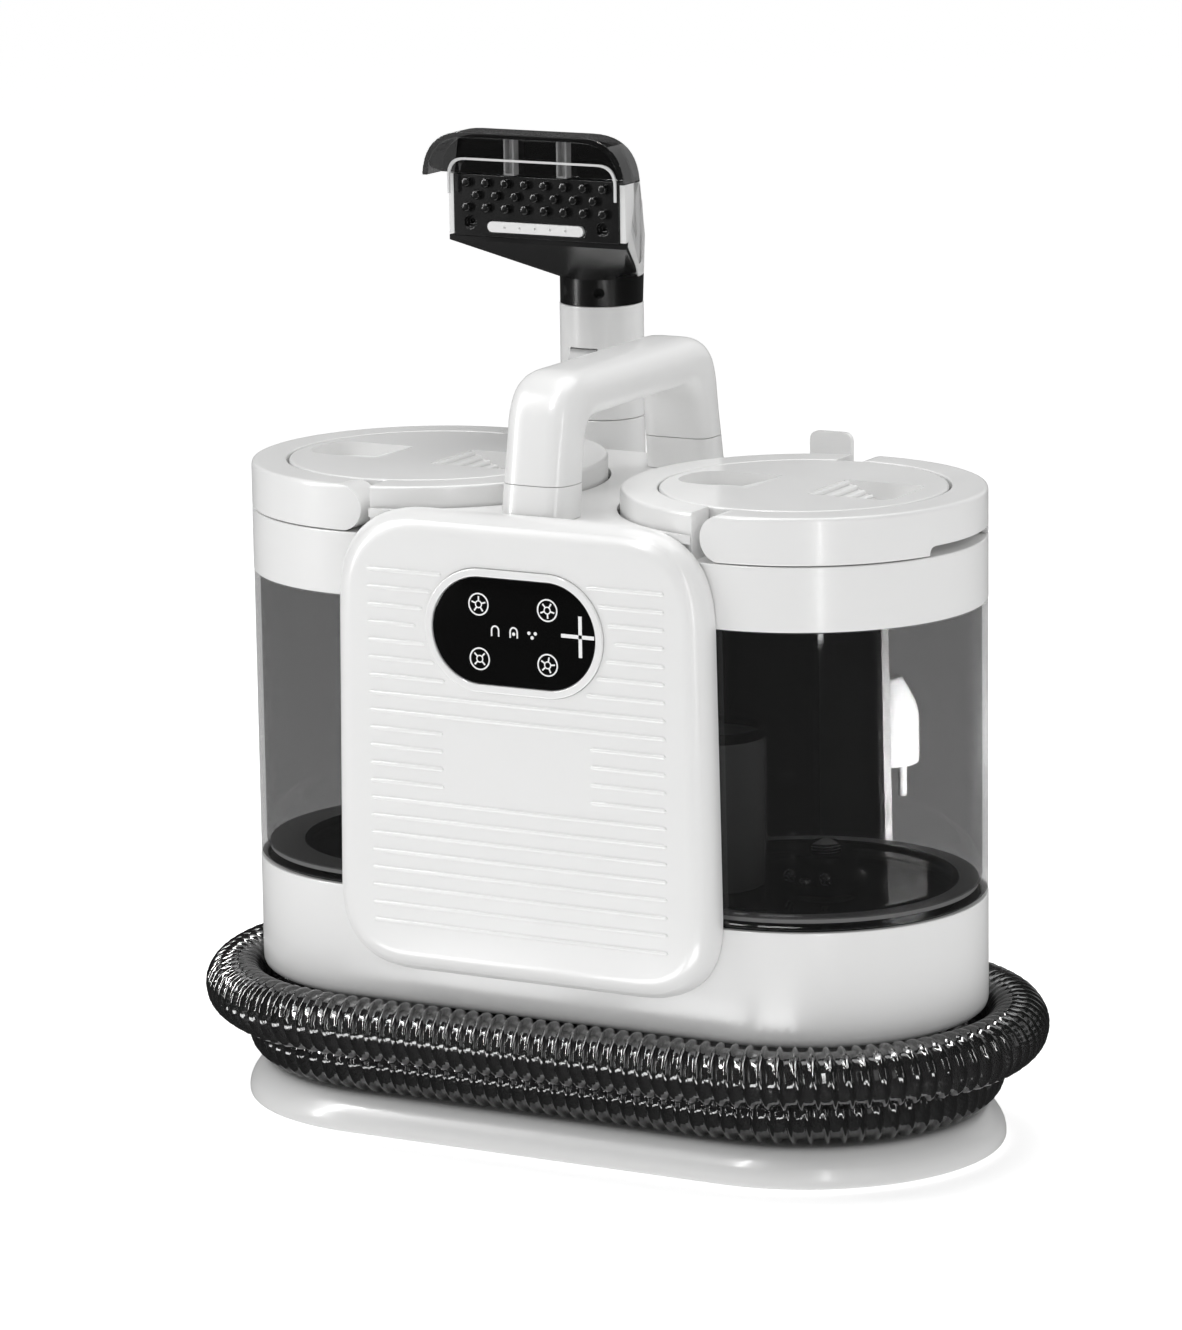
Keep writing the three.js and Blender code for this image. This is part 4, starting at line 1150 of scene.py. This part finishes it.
def head_solid(shrink=0.0):
    """The head that flares from the tube to its wide face, with a raised duct up to the lip."""
    half, y, z0, z1 = FACE["half"] - shrink, FACE["y"] + shrink, FACE["z0"] + shrink, FACE["z1"]
    low = [(px, py, COLLAR) for px, py in circle(22 - shrink, steps=48)]
    high = [(px, py, COLLAR + 14) for px, py in circle(22 - shrink, steps=48)]
    neck = hull([*low, *high, *both(18, 16, 436)])
    flare = hull(
        [*high, *both(half, y, z0), *both(half, y, z1), *both(half - 2, y + 20, z1), *both(18, 16, 436)]
    )
    duct = hull(
        [
            *both(half - 1, y + 3.4, z1 - 6), *both(half - 4, y + 3.4, 494), *both(half - 10, y + 16, 494),
            *both(24, 2, 456), *both(18, 15, 438)
        ]
    )
    return union(neck, flare, duct)


def below_seam(lift):
    """Everything under the slanting line between the white shell and the black neck."""
    y = FACE["y"]
    line = [
        (80, 390), (80, COLLAR + 14 + lift), (0, COLLAR + 14 + lift), (y + 7, FACE["z0"] + 0.5 + lift),
        (y + 7, FACE["z0"] + 3 + lift), (-140, FACE["z0"] + 3 + lift), (-140, 390)
    ]
    return sideways(line, -90, 90)


def add_tool_head():
    """The white shell, its grey side panel and the black neck that together make the head."""
    y, half, z0, z1 = FACE["y"], FACE["half"], FACE["z0"], FACE["z1"]
    head = cut(head_solid(), block(-half + 3, y - 5, z0 + 2.5, half - 3, y + 7, z1 + 5))
    panel = sideways([(-58, 449), (-58, 474), (-40, 476), (-2, 452), (2, 426), (-10, 424)], 0, 90)
    inset = common(cut(head_solid(), shifted(head_solid(0.9), x=-0.4)), panel)
    tool_piece("tool_head_shell", cut(head, below_seam(0.3), inset), WHITE, "tool_shell", edge=1.6)
    left_side = sideways([(-140, 300), (-140, 600), (90, 600), (90, 300)], -90, 0)
    tool_piece("tool_side_panel", cut(common(head_solid(0.5), panel), left_side), GREY_LIGHT, edge=0.5)
    groove = sideways([(-20, 418), (-20, 420), (90, 420), (90, 418)], -90, 90)
    black = cut(common(head, below_seam(-0.2)), groove)
    holes = [along_y(2.8, x, 409, -40, -17, 24) for x in (-13, 9)]
    tool_piece("tool_head_neck", cut(black, *holes), BLACK, "tool_neck", edge=1.2)


def add_tool_face():
    """The black face with its nubs, and the spray bar let into it."""
    y, half, z0, z1 = FACE["y"], FACE["half"], FACE["z0"], FACE["z1"]
    face = block(-half + 3.3, y - 1, z0 + 2.8, half - 3.3, y + 6.7, z1)
    nub = lathe([(0, 0), (2.6, 0), (2.6, 4, 1.6), (0, 4)], steps=20)
    nubs = []
    for row, count in enumerate((8, 7, 8)):
        across = [(i - (count - 1) / 2) * 11.5 for i in range(count)]
        nubs += [moved(nub, lying("X", x, y, 459 + 6.5 * row)) for x in across]
    slot = plate(round_rect(-29, 446, 29, 452.4, 3), y - 6, y + 0.4)
    heads = [(r, x, y + depth) for x in (-39, 39) for r, depth in ((3.4, 1.6), (1.3, 4))]
    screws = [along_y(r, x, 451, y - 6, end, 24) for r, x, end in heads]
    tool_piece("tool_face_plate", joined(cut(face, slot, *screws), *nubs), BLACK, "tool_face", edge=0.4)
    bar = plate(stadium(2.8, 25.4, 0, 449.2), y - 2, y + 0.9)
    jets = [along_y(0.7, x, 449.2, y - 4, y - 1, 16) for x in (-18, -9, 0, 9, 18)]
    tool_piece("spray_nozzles", cut(bar, *jets), WHITE, "tool_spray_bar", edge=0.5)


def lip_arch(inset, y0, y1):
    half, top, reach = 59.5 - inset, 500 - inset, 27 - inset
    return plate(soft([(-half, 455), (half, 455), (half, top, reach), (-half, top, reach)], steps=12), y0, y1)


def lip_edge(half, top):
    """The open line of the lip's inner edge: up one side, over the top and down the other."""
    return soft([(-half, 466), (-half, top, 10), (half, top, 10), (half, 466)], closed=False, steps=8)


def add_tool_lip():
    y = FACE["y"]
    hood = cut(lip_arch(0, y - 15, y + 3), lip_arch(3, y - 30, y), block(-90, -200, 400, 90, 0, 476.4))
    tool_piece("suction_lip", hood, SMOKE_LIP, "tool_lip", edge=1.0)
    # A thin near-white strip along the lip's inner edge: painted highlight for the bright line on the clear
    # lip.
    painted_edge_line = plate([*lip_edge(49.6, 485.2), *lip_edge(48.4, 484)[::-1]], y - 5.6, y - 4.6)
    ribs = [
        cut(block(x - 3, y - 5.4, 477, x + 3, y - 0.2, 496), block(x - 2, y - 6, 478, x + 2, y - 1, 500))
        for x in (-13, 18)
    ]
    tool_piece("suction_lip_trim", painted_edge_line, LIP_EDGE_HIGHLIGHT)
    tool_piece("suction_lip_ribs", joined(*ribs), SMOKE_RIB)


def add_tool():
    tube = [(14, SEAM + 0.3), (TUBE_R, SEAM + 0.3, 0.8), (TUBE_R, COLLAR - 0.3, 0.6), (14, COLLAR - 0.3)]
    pocket = block(-8, -30, 348.4, 8, -15.4, 379.6)
    tool_piece("tool_handle_tube", cut(lathe(tube), pocket), WHITE, "tool_tube", edge=0.4)
    cuff = [(13, 262), (19.5, 262, 1.5), (19.5, 285, 1), (TUBE_R, 285, 1), (TUBE_R, SEAM, 0.8), (13, SEAM)]
    tool_piece("tool_handle_cuff", lathe(cuff), WHITE, "tool_cuff")
    lever = soft([(-19.6, 349), (-25, 351, 1.5), (-27, 357, 3), (-25, 373, 4), (-21.5, 379, 2), (-19.6, 379)])
    tool_piece("spray_trigger", sideways(lever, -7.5, 7.5), GREY_LIGHT, "tool_trigger", "trigger", edge=0.8)
    add_tool_head()
    add_tool_face()
    add_tool_lip()


# --- room and light
AMBIENT = 0.47  # how brightly the white room lights the machine
MIRRORED = 0.04  # and how bright it is where a glossy surface mirrors it


def soft_light(name, where, size, power, toward=(0, 0, 200), size_y=None):
    data = bpy.data.lights.new(name, "AREA")
    data.shape = "RECTANGLE"
    data.size, data.size_y = size, size_y or size
    data.energy = power
    lamp = linked(name, data)
    lamp.visible_camera = False
    lamp.location = place(where)
    lamp.rotation_euler = (place(toward) - lamp.location).to_track_quat("-Z", "Y").to_euler()
    return lamp


def gleam(*args, **sizes):
    """A strip that only glossy surfaces show, as a bright line."""
    lamp = soft_light(*args, **sizes)
    lamp.visible_diffuse = False
    return lamp


def studio_world():
    """A white room: full white to the camera, softer as light, dim in reflections."""
    world = bpy.data.worlds.new("studio")
    world.use_nodes = True
    tree = world.node_tree
    path = tree.nodes.new("ShaderNodeLightPath")
    strength = AMBIENT
    for ray, level in (("Is Glossy Ray", MIRRORED), ("Is Camera Ray", 1.0)):
        mix = tree.nodes.new("ShaderNodeMix")
        for slot, value in (("Factor", path.outputs[ray]), (2, strength), (3, level)):
            feed(tree, mix.inputs[slot], value)
        strength = mix.outputs[0]
    background = tree.nodes["Background"]
    feed(tree, background.inputs["Color"], grey(1))
    feed(tree, background.inputs["Strength"], strength)
    return world


def paper():
    """White paper for the floor, which glossy surfaces mirror only dimly."""
    n = Nodes("paper").base(Base_Color=grey(0.8), Roughness=0.9, Specular_IOR_Level=0.0)
    n.base(Emission_Color=grey(1), Emission_Strength=0.62)
    dim = n.add("Emission", Color=grey(1), Strength=0.06)
    mix = n.add("MixShader", Fac=n.add("LightPath").outputs["Is Glossy Ray"])
    n.tree.links.new(n.shader.outputs["BSDF"], mix.inputs[1])
    n.tree.links.new(dim.outputs["Emission"], mix.inputs[2])
    n.tree.links.new(mix.outputs["Shader"], n.tree.nodes["Material Output"].inputs["Surface"])
    return n.material


def add_room():
    scene = bpy.context.scene
    scene.view_settings.view_transform = "Standard"
    scene.world = studio_world()
    reach = 12
    ground = bpy.data.meshes.new("ground")
    corners = [(-reach, -reach, 0), (reach, -reach, 0), (reach, reach, 0), (-reach, reach, 0)]
    ground.from_pydata(corners, [], [(0, 1, 2, 3)])
    ground.materials.append(paper())
    floor = linked("ground", ground)
    floor.location.z = -0.0005
    back = soft_light("back", (440, 92, 170), 0.06, 0.65, toward=(80, 138, 160), size_y=0.14)
    back.data.spread = radians(24)
    back.visible_glossy = False
    soft_light("key", (-1300, -900, 1500), 0.8, 9)
    soft_light("fill", (1700, -900, 700), 0.5, 1.4, size_y=1.4)
    soft_light("top", (0, 200, 1700), 1.2, 12.5)
    soft_light("rim", (500, 1700, 900), 1.2, 2.5)
    gleam("front_gleam", (-1150, -950, 850), 0.1, 22, toward=(0, 0, 100), size_y=1.5)
    gleam("high_gleam", (-250, -900, 1500), 0.12, 18, toward=(0, 0, 60), size_y=1.2)
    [gleam(f"floor_gleam_{x}", (x, -300, 2), 0.12, 0.4, toward=(x, -300, 200)) for x in (-160, 0, 160)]
    gleam("side_gleam", (900, -1100, 400), 0.08, 4, toward=(100, 0, 200), size_y=1.2)


def dress_inside():
    """The machine's hidden pieces keep their CAD shapes and take materials."""
    inside = {
        "vacuum_motor": CAST,
        "fan_housing": BLACK_MATTE,
        "fan_impeller": BLACK_MATTE,
        "water_pump": BLACK_MATTE,
        "control_board": BOARD,
    }
    for node, material in inside.items():
        for slot in bpy.data.objects[node].material_slots:
            slot.material = material


add_base()
add_hose_cuff()
add_column()
add_deck()
add_rear_cover()
add_front_panel()
add_controls()
add_handle()
add_hooks()
add_clip()
for word, side, hole_x, hole_r in (("left", -1, -TANK_X, 14.3), ("right", 1, TANK_X + 11, 12.3)):
    add_jar(word, side * TANK_X, hole_x, hole_r)
    add_collar(word, side)
    add_bail(word, side)
    add_floor_ring(word, side * TANK_X, 70 + 4 * side)
    add_cap(word, side)
add_clean_tank_parts()
add_dirty_tank_parts()
add_tool()
dress_inside()
add_room()
